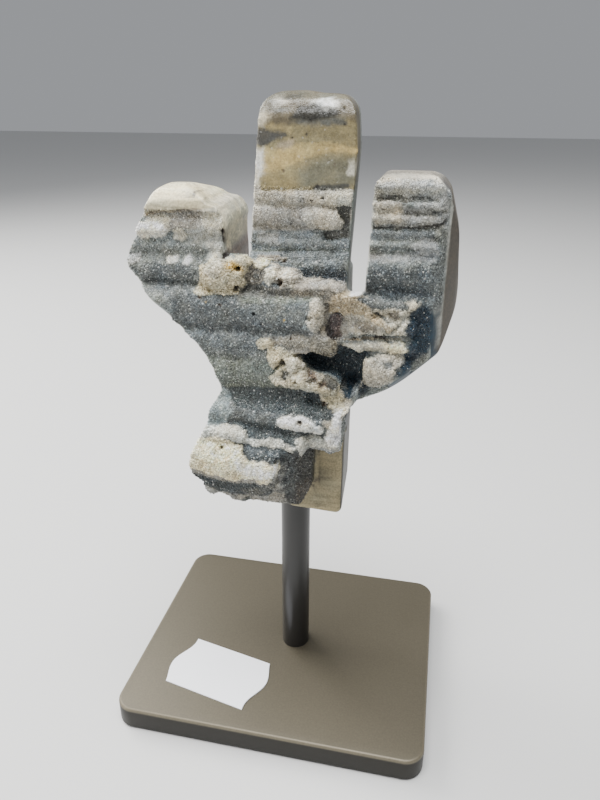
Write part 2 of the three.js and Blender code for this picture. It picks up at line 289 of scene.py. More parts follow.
def inset(outline: np.ndarray, distance: float) -> np.ndarray:
    """Moves a counterclockwise outline inwards.

    Args:
        outline: N x 2 points.
        distance: how far, in millimetres.

    Returns:
        The moved points, N x 2.
    """
    ahead = np.roll(outline, -1, axis=0) - outline
    ahead /= np.linalg.norm(ahead, axis=1, keepdims=True)
    outward = np.stack([ahead[:, 1], -ahead[:, 0]], axis=1)
    previous = np.roll(outward, 1, axis=0)
    mitre = outward + previous
    mitre /= (1 + np.sum(outward * previous, axis=1, keepdims=True))
    return outline - mitre * distance


def shell(name: str, rings: list[np.ndarray]) -> bpy.types.Object:
    """Makes a closed solid from a stack of equal rings, the first ring's cap facing backwards.

    Args:
        name: the object's name.
        rings: the rings' points, N x 3 each.

    Returns:
        The object.
    """
    count = len(rings[0])
    faces = [list(range(count))[::-1]]
    for low in range(0, (len(rings) - 1) * count, count):
        for i in range(count):
            j = (i + 1) % count
            faces.append([low + i, low + j, low + count + j, low + count + i])
    last = (len(rings) - 1) * count
    faces.append([last + i for i in range(count)])
    return new_piece(name, np.concatenate(rings), faces)


def straight(name: str, outline: np.ndarray, along: int, ends: Numbers) -> bpy.types.Object:
    """Extrudes an outline straight along one axis.

    Args:
        name: the object's name.
        outline: N x 2 points on the two other axes.
        along: the axis, 0 for X and 2 for Z.
        ends: where the solid starts and ends on that axis.

    Returns:
        The closed solid.
    """
    return shell(name, [np.insert(outline, along, end, axis=1) for end in ends])


def bar(name: str, profile: list[Corner], left: float, right: float) -> bpy.types.Object:
    """Extrudes a counterclockwise profile in Y and Z from left to right."""
    return straight(name, rounded_outline(profile), 0, (left, right))


def column(name: str, plan: list[Corner], bottom: float, top: float) -> bpy.types.Object:
    """Extrudes a counterclockwise plan in X and Y from bottom to top."""
    return straight(name, rounded_outline(plan), 2, (bottom, top))


def slab(
    name: str,
    corners: list[Corner],
    front: float,
    back: float,
    round_size: float = 0.0,
    round_depth: float = 0.0,
) -> bpy.types.Object:
    """Extrudes an outline in X and Z from front to back and rounds both rims.

    Args:
        name: the object's name.
        corners: the outline, as for rounded_outline, with X and Z.
        front: Y of the front face.
        back: Y of the back face.
        round_size: how far each rim is drawn in.
        round_depth: how deep each rim's rounding reaches.

    Returns:
        The closed solid.
    """
    outline = rounded_outline(corners)
    rim = [(0.0, 0.0)]
    if round_size > 0:
        angles = np.linspace(0, math.pi / 2, 7)
        rim = [(round_size * (1 - math.sin(a)), round_depth * (1 - math.cos(a))) for a in angles]
    levels = [(drawn, back - depth) for drawn, depth in rim]
    levels += [(drawn, front + depth) for drawn, depth in rim[::-1]]
    return shell(name, [np.insert(inset(outline, drawn), 1, y, axis=1) for drawn, y in levels])


def cylinder(sides: int, radius: float, x: float, y: float, ends: Numbers) -> bpy.types.Object:
    """Adds an upright cylinder.

    Args:
        sides: the number of its sides.
        radius: its radius.
        x: X of its axis.
        y: Y of its axis.
        ends: Z of its bottom and its top.

    Returns:
        The closed solid.
    """
    bottom, top = ends
    bpy.ops.mesh.primitive_cylinder_add(
        vertices=sides,
        radius=radius * MM,
        depth=(top - bottom) * MM,
        location=(x * MM, y * MM, (bottom + top) / 2 * MM),
    )
    settle()
    return bpy.context.object


def settle() -> None:
    """Moves the active object's place, turn and size into its mesh."""
    bpy.ops.object.transform_apply(location=True, rotation=True, scale=True)


# ---- The main view ---------------------------------------------------------------------------------


@dataclass(frozen=True)
class View:
    """The camera of the main view, whose picture is measured in pixels from its top left corner."""

    place: Numbers = (31.5, -137.5, 144.7)
    yaw: float = math.radians(-11.96)
    pitch: float = math.radians(24.53)
    roll: float = math.radians(0.2)
    focal: float = 657.9
    width: float = 600.0
    height: float = 800.0

    def axes(self) -> tuple[np.ndarray, np.ndarray, np.ndarray]:
        """Works out which way the camera faces.

        Returns:
            The directions of the picture's right and up, and of the way forward.
        """
        flat = math.cos(self.pitch)
        forward = np.array([math.sin(self.yaw) * flat, math.cos(self.yaw) * flat, -math.sin(self.pitch)])
        right = np.array([math.cos(self.yaw), -math.sin(self.yaw), 0.0])
        up = np.cross(right, forward)
        cos, sin = math.cos(self.roll), math.sin(self.roll)
        return cos * right + sin * up, cos * up - sin * right, forward

    def on_plane(self, seen: list[Corner], y: float) -> list[Corner]:
        """Carries places in the picture to an upright plane.

        Args:
            seen: (across, down) in pixels.
            y: the plane's Y.

        Returns:
            (X, Z) of each place, rounded to a tenth of a millimetre.
        """
        right, up, forward = self.axes()
        across, down = np.array(seen, dtype=float).T
        ray = forward + ((across - self.width / 2) / self.focal)[:, None] * right
        ray = ray - ((down - self.height / 2) / self.focal)[:, None] * up
        reach = (y - self.place[1]) / ray[:, 1]
        x = self.place[0] + ray[:, 0] * reach
        z = self.place[2] + ray[:, 2] * reach
        return [(round(a, 1), round(b, 1)) for a, b in zip(x.tolist(), z.tolist())]


VIEW = View()


def disc(across: float, down: float, radius: float, corners: int = 9) -> list[Corner]:
    """Returns the seen places of a round spot's border, in pixels."""
    angles = [k * math.tau / corners for k in range(corners)]
    return [(round(across + radius * math.cos(a), 1), round(down + radius * math.sin(a), 1)) for a in angles]


# ---- Colours ---------------------------------------------------------------------------------------


def linear(red: float, green: float, blue: float) -> np.ndarray:
    """Turns display values from 0 to 255 into linear ones from 0 to 1."""
    share = np.array([red, green, blue]) / 255.0
    return np.where(share <= 0.04045, share / 12.92, ((share + 0.055) / 1.055) ** 2.4)


def opaque(red: float, green: float, blue: float) -> Numbers:
    """Turns display values from 0 to 255 into a linear colour with alpha 1."""
    return (*linear(red, green, blue).tolist(), 1.0)


class Tone(Enum):
    """The stone's colours, as display values from 0 to 255."""

    GREY = (127, 132, 127)
    GREEN_GREY = (113, 119, 109)
    DEEP_GREY = (98, 103, 102)
    SLATE = (83, 90, 92)
    BLUE_BLACK = (28, 46, 58)
    BLUE_GREY = (127, 134, 135)
    LIGHT_GREY = (156, 157, 152)
    WARM_GREY = (162, 158, 147)
    TAUPE = (131, 125, 109)
    SMOKE = (98, 98, 91)
    STEEL = (107, 113, 112)
    SILVER = (187, 186, 174)
    PALE_BLUE = (132, 142, 141)
    DARK_SLATE = (65, 72, 72)
    CHARCOAL = (48, 47, 41)
    FOOT = (142, 132, 102)
    PINK_BROWN = (126, 112, 106)
    IVORY = (205, 199, 178)
    PALE = (190, 184, 167)
    WHITE = (238, 237, 227)
    GLARE = (255, 254, 248)
    CREAM = (187, 178, 149)
    CREAM_WHITE = (230, 219, 184)
    TAN = (166, 152, 124)
    OLIVE = (155, 142, 101)
    DEEP_OLIVE = (140, 129, 94)
    MOSS = (119, 115, 93)
    YELLOW = (188, 167, 112)
    OCHRE = (196, 164, 84)
    BROWN = (100, 85, 70)
    DARK_BROWN = (58, 52, 48)
    DARK = (78, 77, 72)
    STONE = (152, 146, 133)
    UMBER = (71, 63, 53)
    PURPLE_GREY = (99, 98, 99)
    SAND = (138, 132, 118)
    SOOT = (76, 75, 67)
    PEARL = (254, 247, 228)
    NIGHT = (36, 43, 46)
    BUFF = (204, 192, 167)
    DRAB = (98, 91, 74)
    COAL = (43, 43, 40)

    def linear(self) -> np.ndarray:
        """Returns the colour as linear values from 0 to 1."""
        return linear(*self.value)

    def over(self, tint: np.ndarray, cover: np.ndarray) -> np.ndarray:
        """Paints this tone over N colours by N shares from 0 to 1."""
        return tint * (1 - cover[:, None]) + self.linear() * cover[:, None]


class Facing(Enum):
    """Which way the surface of a coloured patch looks."""

    ANY = (0.0, 0.0, 0.0)
    FRONT = (0.0, -1.0, 0.0)
    BACK = (0.0, 1.0, 0.0)
    RIGHT = (1.0, 0.0, 0.0)
    UP = (0.0, 0.0, 1.0)


@dataclass(frozen=True)
class Patch:
    """A patch of one colour, a box seen from the front with a ragged border."""

    tone: Tone
    left: float
    right: float
    bottom: float
    top: float
    ragged: float = 0.5
    soft: float = 0.35
    depth: Numbers = (-40.0, 2.0)
    facing: Facing = Facing.ANY
    strength: float = 1.0

    CORNER = 0.4
    FADE = 0.5
    TURNED = (0.35, 0.65)

    def cover(self, points: np.ndarray, normals: np.ndarray, drift: np.ndarray) -> np.ndarray:
        """Says how much of the patch's colour each point takes.

        Args:
            points: N x 3 places.
            normals: N x 3 directions of the bare surface.
            drift: N x 3 random shifts that make the border ragged.

        Returns:
            N numbers from 0 to 1.
        """
        x, y, z = (points + drift * self.ragged).T
        half_width = (self.right - self.left) / 2
        half_height = (self.top - self.bottom) / 2
        corner = self.CORNER * min(half_width, half_height)
        out_x = np.abs(x - (self.left + self.right) / 2) - half_width + corner
        out_z = np.abs(z - (self.bottom + self.top) / 2) - half_height + corner
        outside = np.hypot(np.maximum(out_x, 0), np.maximum(out_z, 0))
        distance = outside + np.minimum(np.maximum(out_x, out_z), 0) - corner
        cover = 1.0 - smooth_step(-self.soft, self.soft, distance)
        near, far = self.depth
        cover *= between((near - self.FADE, near + self.FADE), (far - self.FADE, far + self.FADE), y)
        if self.facing is not Facing.ANY:
            cover *= smooth_step(*self.TURNED, normals @ np.array(self.facing.value))
        return cover * self.strength


@dataclass(frozen=True)
class Blot:
    """A patch of one colour with a drawn outline, which can stand proud of the ridges or lie lower."""

    tone: Tone
    plane: float
    lift: float
    ragged: float
    soft: float
    seen: list[Corner]

    REACH = 3.0
    MARGIN = 1.5
    COARSE_FROM = 0.4

    def cover(self, points: np.ndarray, drift: np.ndarray) -> np.ndarray:
        """Says how far each point lies inside the drawn outline.

        Args:
            points: N x 3 places.
            drift: N x 3 random shifts that make the border ragged.

        Returns:
            N numbers from 0 to 1.
        """
        cover = np.zeros(len(points))
        corners = np.array(VIEW.on_plane(self.seen, self.plane))
        flat = points[:, (0, 2)]
        near = points[:, 1] < self.plane + self.REACH
        near &= (flat > corners.min(axis=0) - self.MARGIN).all(axis=1)
        near &= (flat < corners.max(axis=0) + self.MARGIN).all(axis=1)
        if not near.any():
            return cover
        place = flat[near] + drift[near][:, (0, 2)] * self.ragged
        nearest = np.full(len(place), np.inf)
        inside = np.zeros(len(place), dtype=bool)
        for start, end in zip(corners, np.roll(corners, -1, axis=0)):
            side = end - start
            offset = place - start
            share = np.clip(offset @ side / (side @ side), 0, 1)
            nearest = np.minimum(nearest, np.hypot(*(offset - share[:, None] * side).T))
            spans = (start[1] > place[:, 1]) != (end[1] > place[:, 1])
            if side[1] != 0:
                crossing = start[0] + side[0] * (place[:, 1] - start[1]) / side[1]
                inside ^= spans & (place[:, 0] < crossing)
        distance = np.where(inside, -nearest, nearest)
        cover[near] = 1.0 - smooth_step(-self.soft, self.soft, distance)
        return cover


@dataclass(frozen=True)
class PinHole:
    """A small pit or stain with a dark rim."""

    tone: Tone
    plane: float
    radius: float
    depth: float
    seen: Corner

    BACKMOST = -8.0
    FAR = 100.0
    RAGGED = 0.3
    RIM = (0.6, 1.35)

    def cover(self, points: np.ndarray, drift: np.ndarray) -> np.ndarray:
        """Says how far each point lies inside the pit.

        Args:
            points: N x 3 places.
            drift: N x 3 random shifts that make the border ragged.

        Returns:
            N numbers from 0 to 1.
        """
        ((x, z),) = VIEW.on_plane([self.seen], self.plane)
        across = points[:, 0] + self.RAGGED * drift[:, 0] - x
        up = points[:, 2] + self.RAGGED * drift[:, 2] - z
        reach = np.where(points[:, 1] < self.BACKMOST, np.hypot(across, up), self.FAR)
        return 1.0 - smooth_step(self.radius * self.RIM[0], self.radius * self.RIM[1], reach)


# ---- The stone's construction ----------------------------------------------------------------------


@dataclass(frozen=True)
class Ridge:
    """One stalactite that lies along X, showing its front or its back."""

    start: float
    end: float
    bottom: float
    top: float
    face: float
    side: int = -1
    square: float = 2.15

    SIDES = 32
    STEP = 0.45
    HALF_DEPTH = 4.0
    TAPER = 0.7
    END_SIZE = 0.74
    SPREAD = 1.03
    SWELL = 0.05
    SWAY = 0.16
    TEETH = 0.2

    def axis(self) -> float:
        """Returns the Y of the ridge's middle line."""
        return self.face - self.side * self.HALF_DEPTH

    def middle(self) -> float:
        """Returns the Z of the ridge's middle line."""
        return (self.top + self.bottom) / 2

    def unevenness(self, x: np.ndarray, seed: float) -> np.ndarray:
        """Returns the slow swelling along the ridge, from -1 to 1."""
        return 0.6 * np.sin(0.55 * x + 2.1 * seed) + 0.4 * np.sin(1.37 * x + 5.3 * seed)

    def blank(self) -> bpy.types.Object:
        """Makes the even cylinder that the ridge is shaped from.

        Returns:
            A cylinder of radius 1 along X, cut into short steps.
        """
        length = self.end - self.start
        bpy.ops.mesh.primitive_cylinder_add(
            vertices=self.SIDES,
            radius=MM,
            depth=length * MM,
            location=((self.start + self.end) / 2 * MM, 0, 0),
            rotation=(0, math.pi / 2, 0),
        )
        piece = bpy.context.object
        settle()
        bpy.ops.object.mode_set(mode="EDIT")
        work = bmesh.from_edit_mesh(piece.data)
        for edge in work.edges:
            a, b = edge.verts
            edge.select = abs(a.co.x - b.co.x) > length * MM * 0.9
        bmesh.update_edit_mesh(piece.data)
        bpy.ops.mesh.select_mode(type="EDGE")
        bpy.ops.mesh.subdivide(number_cuts=max(3, round(length / self.STEP)))
        bpy.ops.object.mode_set(mode="OBJECT")
        return piece

    def build(self, seed: int) -> bpy.types.Object:
        """Makes the ridge's closed solid.

        Args:
            seed: makes each ridge swell at its own places.

        Returns:
            The object.
        """
        piece = self.blank()
        points = read_points(piece)
        x, y, z = points.T
        from_end = np.minimum(x - self.start, self.end - x)
        blunt = self.END_SIZE + (1 - self.END_SIZE) * np.sqrt(np.clip(from_end / self.TAPER, 0, 1))
        angle = np.arctan2(z, y)
        power = 2 / self.square
        across = np.sign(np.cos(angle)) * np.abs(np.cos(angle)) ** power
        upward = np.sign(np.sin(angle)) * np.abs(np.sin(angle)) ** power
        swell = 1 + self.SWELL * self.unevenness(x, seed)
        half_height = (self.top - self.bottom) / 2 * self.SPREAD
        row = np.stack([x, np.full(len(x), seed * 3.7), np.zeros(len(x))], axis=1)
        teeth = self.TEETH * (grain(row, 0.8, 1) + 0.6 * grain(row, 0.35, 2))
        sway = self.SWAY * self.unevenness(x, seed + 7)
        points[:, 1] = self.axis() + across * blunt * self.HALF_DEPTH * swell
        points[:, 2] = self.middle() + upward * (blunt * half_height + teeth) + sway
        write_points(piece, points)
        return piece


@dataclass(frozen=True)
class Lump:
    """A rounded lump of crust, or a pit where it is cut out."""

    x: float
    y: float
    z: float
    half_width: float
    half_depth: float
    half_height: float

    def build(self, seed: int, bumpiness: float = 0.14) -> bpy.types.Object:
        """Makes the lump's closed solid.

        Args:
            seed: gives each lump its own bumps.
            bumpiness: how far the surface swells, as a share of the size.

        Returns:
            The object.
        """
        bpy.ops.mesh.primitive_ico_sphere_add(subdivisions=3, radius=MM, location=(0, 0, 0))
        piece = bpy.context.object
        points = read_points(piece)
        swell = 1 + bumpiness * (grain(points, 0.7, seed + 0.5) + 0.5 * grain(points, 0.3, seed))
        half = np.array([self.half_width, self.half_depth, self.half_height])
        write_points(piece, points * swell[:, None] * half + np.array([self.x, self.y, self.z]))
        return piece


BACK = 11.4

TRUNK_RIDGES = [
    Ridge(-8, 18, 126.3, 129.8, -12.4, square=3.2),
    Ridge(-8, 13.1, 122.0, 126.4, -12.6, square=3.2),
    Ridge(-8, 9.4, 120.2, 122.1, -12.0, square=3.2),
    Ridge(-8, 18, 118.1, 120.5, -12.2, square=3.2),
    Ridge(-8, 18, 108.8, 118.4, -13.6),
]
LEFT_ARM_RIDGES = [
    Ridge(-34, -7, 119.5, 125.0, -14.3),
    Ridge(-34, -21.3, 120.1, 122.8, -14.9),
    Ridge(-34, -7, 116.2, 119.9, -14.1),
    Ridge(-34, -4, 109.3, 116.5, -15.2),
    Ridge(-34, 2, 103.4, 110.0, -15.9),
]
RIGHT_ARM_RIDGES = [
    Ridge(16, 37, 128.9, 132.2, -13.2),
    Ridge(16, 37, 126.1, 128.8, -13.5),
    Ridge(16, 37, 123.6, 126.2, -13.4),
    Ridge(16, 37, 121.0, 123.5, -12.9),
    Ridge(16, 37, 118.7, 121.2, -13.2),
    Ridge(12, 32, 110.5, 118.8, -13.9),
    Ridge(12, 29, 106.6, 110.8, -14.9),
    Ridge(13, 28.4, 102.2, 106.9, -15.4),
    Ridge(13, 29, 98.9, 102.3, -15.1),
    Ridge(18.6, 28, 91.4, 99.2, -15.3),
    Ridge(9.4, 20, 103.4, 111.0, -14.8),
]
CRUST_RIDGES = [
    Ridge(-1.6, 14.6, 109.6, 113.3, -16.8),
    Ridge(-30, 10.1, 102.3, 110.2, -18.2, square=3.0),
    Ridge(-26, 8.2, 96.3, 102.6, -18.6, square=3.4),
    Ridge(-20, 5.2, 90.9, 97.2, -19.2, square=3.2),
    Ridge(0.6, 14.4, 90.6, 95.6, -19.6),
    Ridge(-3.4, 6.2, 94.4, 100.4, -19.3),
    Ridge(-14, 17, 85.6, 91.2, -17.2),
]
LUMP_RIDGES = [
    Ridge(-16, 18, 82.0, 88.6, -21.2),
    Ridge(2.2, 12.4, 83.3, 87.3, -21.8),
    Ridge(4.8, 18, 78.0, 83.0, -20.4),
    Ridge(-18, 8.0, 75.4, 83.1, -22.6),
    Ridge(-18, -3.9, 79.2, 83.6, -23.1),
    Ridge(-20, 3.9, 69.4, 80.4, -24.6),
    Ridge(-14.6, 1.2, 66.4, 72.4, -22.8),
    Ridge(-8.8, -4.6, 64.2, 68.4, -21.9),
]
BACK_RIDGES = [
    Ridge(-8, 18, 127.6, 136.2, 11.2, 1),
    Ridge(-8, 18, 117.4, 127.9, 10.9, 1),
    Ridge(-36, -8, 118.2, 126.4, 11.0, 1),
    Ridge(-36, 18, 108.6, 118.6, 11.6, 1),
    Ridge(14, 38, 121.2, 129.4, 11.0, 1),
    Ridge(10, 38, 110.4, 121.5, 11.5, 1),
    Ridge(-30, 30, 99.2, 109.4, 11.1, 1),
    Ridge(-24, 36, 91.0, 99.6, 11.6, 1),
    Ridge(-13, 18, 79.8, 91.4, 11.2, 1),
    Ridge(-13, 18, 70.6, 80.2, 11.5, 1),
    Ridge(-13, 18, 61.4, 71.2, 10.9, 1),
]
FRONT_RIDGES = TRUNK_RIDGES + LEFT_ARM_RIDGES + RIGHT_ARM_RIDGES + CRUST_RIDGES + LUMP_RIDGES
CRUST_LUMPS = [
    Lump(-9.6, -15.2, 113.2, 5.0, 2.4, 3.5),
    Lump(-11.6, -14.6, 115.6, 2.2, 2.0, 1.6),
    Lump(-6.2, -14.8, 115.9, 2.5, 2.0, 1.5),
    Lump(0.2, -14.5, 113.9, 1.6, 1.9, 1.7),
    Lump(-2.7, -14.0, 113.2, 3.0, 2.2, 3.0),
    Lump(3.2, -14.7, 113.3, 2.9, 2.0, 1.5),
    Lump(13.4, -14.2, 110.2, 4.6, 2.8, 2.1),
    Lump(9.8, -14.4, 101.0, 3.6, 3.6, 3.1),
    Lump(25.4, -12.4, 108.4, 3.2, 2.9, 2.2),
    Lump(22.6, -12.6, 95.8, 3.8, 3.2, 4.4),
    Lump(13.1, -17.6, 81.6, 1.7, 3.2, 4.6),
    Lump(-13.2, -20.6, 74.6, 2.5, 3.6, 4.0),
    Lump(-12.1, -20.8, 68.1, 1.7, 1.8, 1.9),
]
PITS = [
    Lump(-6.4, -17.4, 115.0, 0.8, 1.8, 0.7),
    Lump(-7.4, -17.8, 111.0, 0.7, 1.6, 0.8),
    Lump(1.8, -17.2, 112.4, 0.8, 1.4, 0.6),
    Lump(-2.7, -17.0, 113.0, 1.0, 1.0, 1.1),
    Lump(8.1, -18.4, 106.3, 0.6, 1.2, 0.6),
    Lump(12.8, -17.6, 105.4, 1.6, 2.6, 2.6),
    Lump(2.1, -19.5, 96.2, 0.9, 1.6, 0.8),
    Lump(9.2, -19.6, 93.8, 0.9, 1.2, 0.8),
    Lump(-10.3, -24.4, 78.4, 0.5, 1.4, 0.9),
    Lump(-9.2, -14.4, 118.0, 0.9, 1.6, 1.5),
    Lump(-9.7, -15.0, 119.7, 0.5, 1.4, 1.2),
    Lump(-10.1, -14.8, 121.4, 0.7, 1.3, 0.6),
    Lump(9.0, -12.6, 128.2, 0.6, 1.0, 0.5),
]
HOLLOW_PLANE = -17.5
HOLLOW_BACK = -11.4

TRUNK_CROWN = [(-12.7, 138), (-11.8, 142.2), (-10.2, 144.8), (-7, 146.3), (2, 146.3), (7.6, 144.6)]
LEFT_ARM_CROWN = [
    (-14.9, 124.6), (-14.4, 126.8), (-12.8, 128.9), (-9.4, 129.8), (-4, 129.3), (2, 127.8), (8, 125),
]
RIGHT_ARM_CROWN = [(-13.6, 130.2), (-12, 132.0), (-8, 132.8), (-2, 132.4), (5, 130.9), (9.4, 128.1)]
CROWN_DROP_AT_BACK = 4.5

POLISHED = [
    Patch(Tone.GREEN_GREY, -40, 40, 50, 150, 0.5, 1.0, depth=(-40, 20)),
    Patch(Tone.OLIVE, -14, 16, 55, 90, 1.2, 3.0, depth=(-10, 14), strength=0.45),
    Patch(Tone.FOOT, -2, 15.6, 55, 79, 0.2, 0.4, depth=(-10, -6), facing=Facing.FRONT),
    Patch(Tone.IVORY, -16, -8, 118, 131, 0.5, 1.5, depth=(-20, 14), facing=Facing.RIGHT),
    Patch(Tone.BUFF, -16, -8, 116, 124, 0.5, 2.0, depth=(-20, 14), facing=Facing.RIGHT),
    Patch(Tone.SAND, -16, -8, 116, 127, 0.6, 1.5, depth=(3.5, 14), facing=Facing.RIGHT, strength=0.4),
    Patch(Tone.PINK_BROWN, -16, -8, 105, 117.2, 0.8, 0.8, depth=(-20, 14), facing=Facing.RIGHT),
    Patch(Tone.DARK_BROWN, -11, -8, 116.6, 119.2, 0.3, 0.3, depth=(-16, -11.8), facing=Facing.RIGHT),
    Patch(Tone.GREY, 9, 18, 100, 148, 0.5, 1.5, depth=(-40, 14), facing=Facing.RIGHT, strength=0.85),
    # Partly painted shade: the lower right side is near black, partly its own dark polish and partly painted
    # shade of that side.
    Patch(Tone.CHARCOAL, 9, 18, 50, 92, 0.5, 1.5, depth=(-40, 14), facing=Facing.RIGHT, strength=0.95),
    Patch(Tone.STEEL, 20, 40, 118, 132, 1.5, 2.0, depth=(-20, -9.6)),
    Patch(Tone.PURPLE_GREY, 20, 40, 104, 121, 1.5, 2.0, depth=(-20, -9.6)),
    Patch(Tone.BLUE_BLACK, 6, 40, 80, 106, 2.0, 2.5, depth=(-20, -8)),
    Patch(Tone.UMBER, 20, 40, 92, 134, 0.8, 1.5, depth=(-9.6, 20), strength=0.95),
    Patch(Tone.TAUPE, 24, 40, 92, 134, 2.5, 1.5, depth=(-3, 4), strength=0.5),
    Patch(Tone.SILVER, 24, 40, 100, 132, 0.3, 0.4, depth=(-10.1, -9.5), strength=0.8),
    Patch(Tone.DRAB, -8, 18, 129.6, 149, 0.8, 0.8),
    Patch(Tone.IVORY, -22, -8, 122, 131, 0.3, 0.5, depth=(-20, 14)),
    Patch(Tone.CREAM_WHITE, -32, -9, 126.6, 132, 0.3, 0.4, depth=(-20, 14)),
    Patch(Tone.STONE, 17, 34, 131.2, 135, 0.4, 0.4, depth=(-20, 14)),
    Patch(Tone.COAL, 1.6, 12, 56, 79.6, 0.5, 0.5, depth=(-30, -8.9)),
    Patch(Tone.PALE, 2, 15.6, 55, 56.9, 0.2, 0.3, depth=(-10, -6)),
    Patch(Tone.GLARE, 14.4, 18.2, 109.3, 112.6, 0.2, 0.3, depth=(-17, -6), facing=Facing.UP),
]
BANDS = [
    # The cut foot and the top of the trunk.
    Patch(Tone.FOOT, -12, 16, 55, 80, 0.2, 0.4, depth=(-10, -6)),
    Patch(Tone.OLIVE, -6, 18, 129.6, 148, 0.3, 0.3),
    Patch(Tone.DRAB, -6, 18, 140.4, 149, 0.8, 0.8),
    # The trunk's ridges.
    Patch(Tone.WARM_GREY, -6, 16, 122.0, 129.7, 0.2, 0.2),
    Patch(Tone.BLUE_GREY, -6, 16, 115.8, 122.0, 0.3, 0.6),
    # Partly painted shade: the lower part of the trunk's big lowest ridge is darker, partly its own blue-grey
    # and partly painted shade on its round underside.
    Patch(Tone.SLATE, -6, 16, 110.4, 115.4, 0.5, 0.9),
    # The left arm.
    Patch(Tone.CREAM_WHITE, -32, -9, 126.6, 132, 0.3, 0.4, depth=(-20, 14)),
    Patch(Tone.STEEL, -24, 30, 102, 110, 1.0, 1.0, strength=0.6),
    Patch(Tone.GREY, -33, -9, 109.5, 119.6, 0.4, 0.5),
    Patch(Tone.DEEP_GREY, -33, -6, 103, 110, 0.6, 1.0),
    # The right arm.
    Patch(Tone.WARM_GREY, 17, 36, 131.8, 135, 0.4, 0.4, depth=(-20, 14)),
    Patch(Tone.LIGHT_GREY, 17, 34, 123.4, 131.8, 0.4, 0.4),
    Patch(Tone.GREY, 17, 34, 116.2, 123.4, 0.3, 0.5),
    # Partly painted shade: the lower part of the right arm's big ridge is darker, partly its own blue-grey
    # and partly painted shade on its round underside.
    Patch(Tone.DEEP_GREY, 17, 34, 110.4, 116.2, 0.5, 0.9),
    # The broken crust in the middle.
    Patch(Tone.STEEL, -24, 8, 96.4, 103, 1.0, 1.0),
    Patch(Tone.GREEN_GREY, -20, 8, 90, 97.4, 1.0, 1.2),
    Patch(Tone.WARM_GREY, 4.4, 13.4, 98.2, 103.4, 0.9, 0.8),
    Patch(Tone.TAN, 12, 19, 106.2, 111.8, 0.9, 0.6),
    Patch(Tone.SLATE, -12, 12, 85.6, 90.6, 0.4, 0.6),
    Patch(Tone.PALE, 9.4, 17, 84.6, 92, 0.7),
    # Partly painted shade: the hollow under the crust is blue-black, partly its own dark blue crust and
    # partly painted shade under the overhang.
    Patch(Tone.BLUE_BLACK, 5, 19.6, 88, 100.6, 0.4, 0.5, depth=(-15.8, 2), strength=0.85),
    # The lump at the lower left.
    Patch(Tone.DEEP_GREY, -16, 12, 75.4, 88.6, 0.4, 0.5, depth=(-30, -12)),
    Patch(Tone.WARM_GREY, -17, 8, 63, 75.4, 0.5, 0.6, depth=(-30, -9)),
    Patch(Tone.COAL, 3.2, 12, 58, 79.6, 1.2, 1.2, depth=(-30, -8.9), strength=0.9),
    Patch(Tone.DEEP_GREY, 2.0, 5.6, 67, 78, 1.6, depth=(-22, -16), strength=0.6),
    Patch(Tone.BROWN, 3.6, 9, 62, 68, 1.2, depth=(-18, -9), strength=0.4),
    # The worn back.
    Patch(Tone.WARM_GREY, -40, 40, 50, 150, 1.0, 1.0, depth=(8.0, 20), facing=Facing.BACK, strength=0.75),
    Patch(Tone.BROWN, 20, 40, 88, 128, 2.0, 1.5, depth=(4, 20), strength=0.5),
]

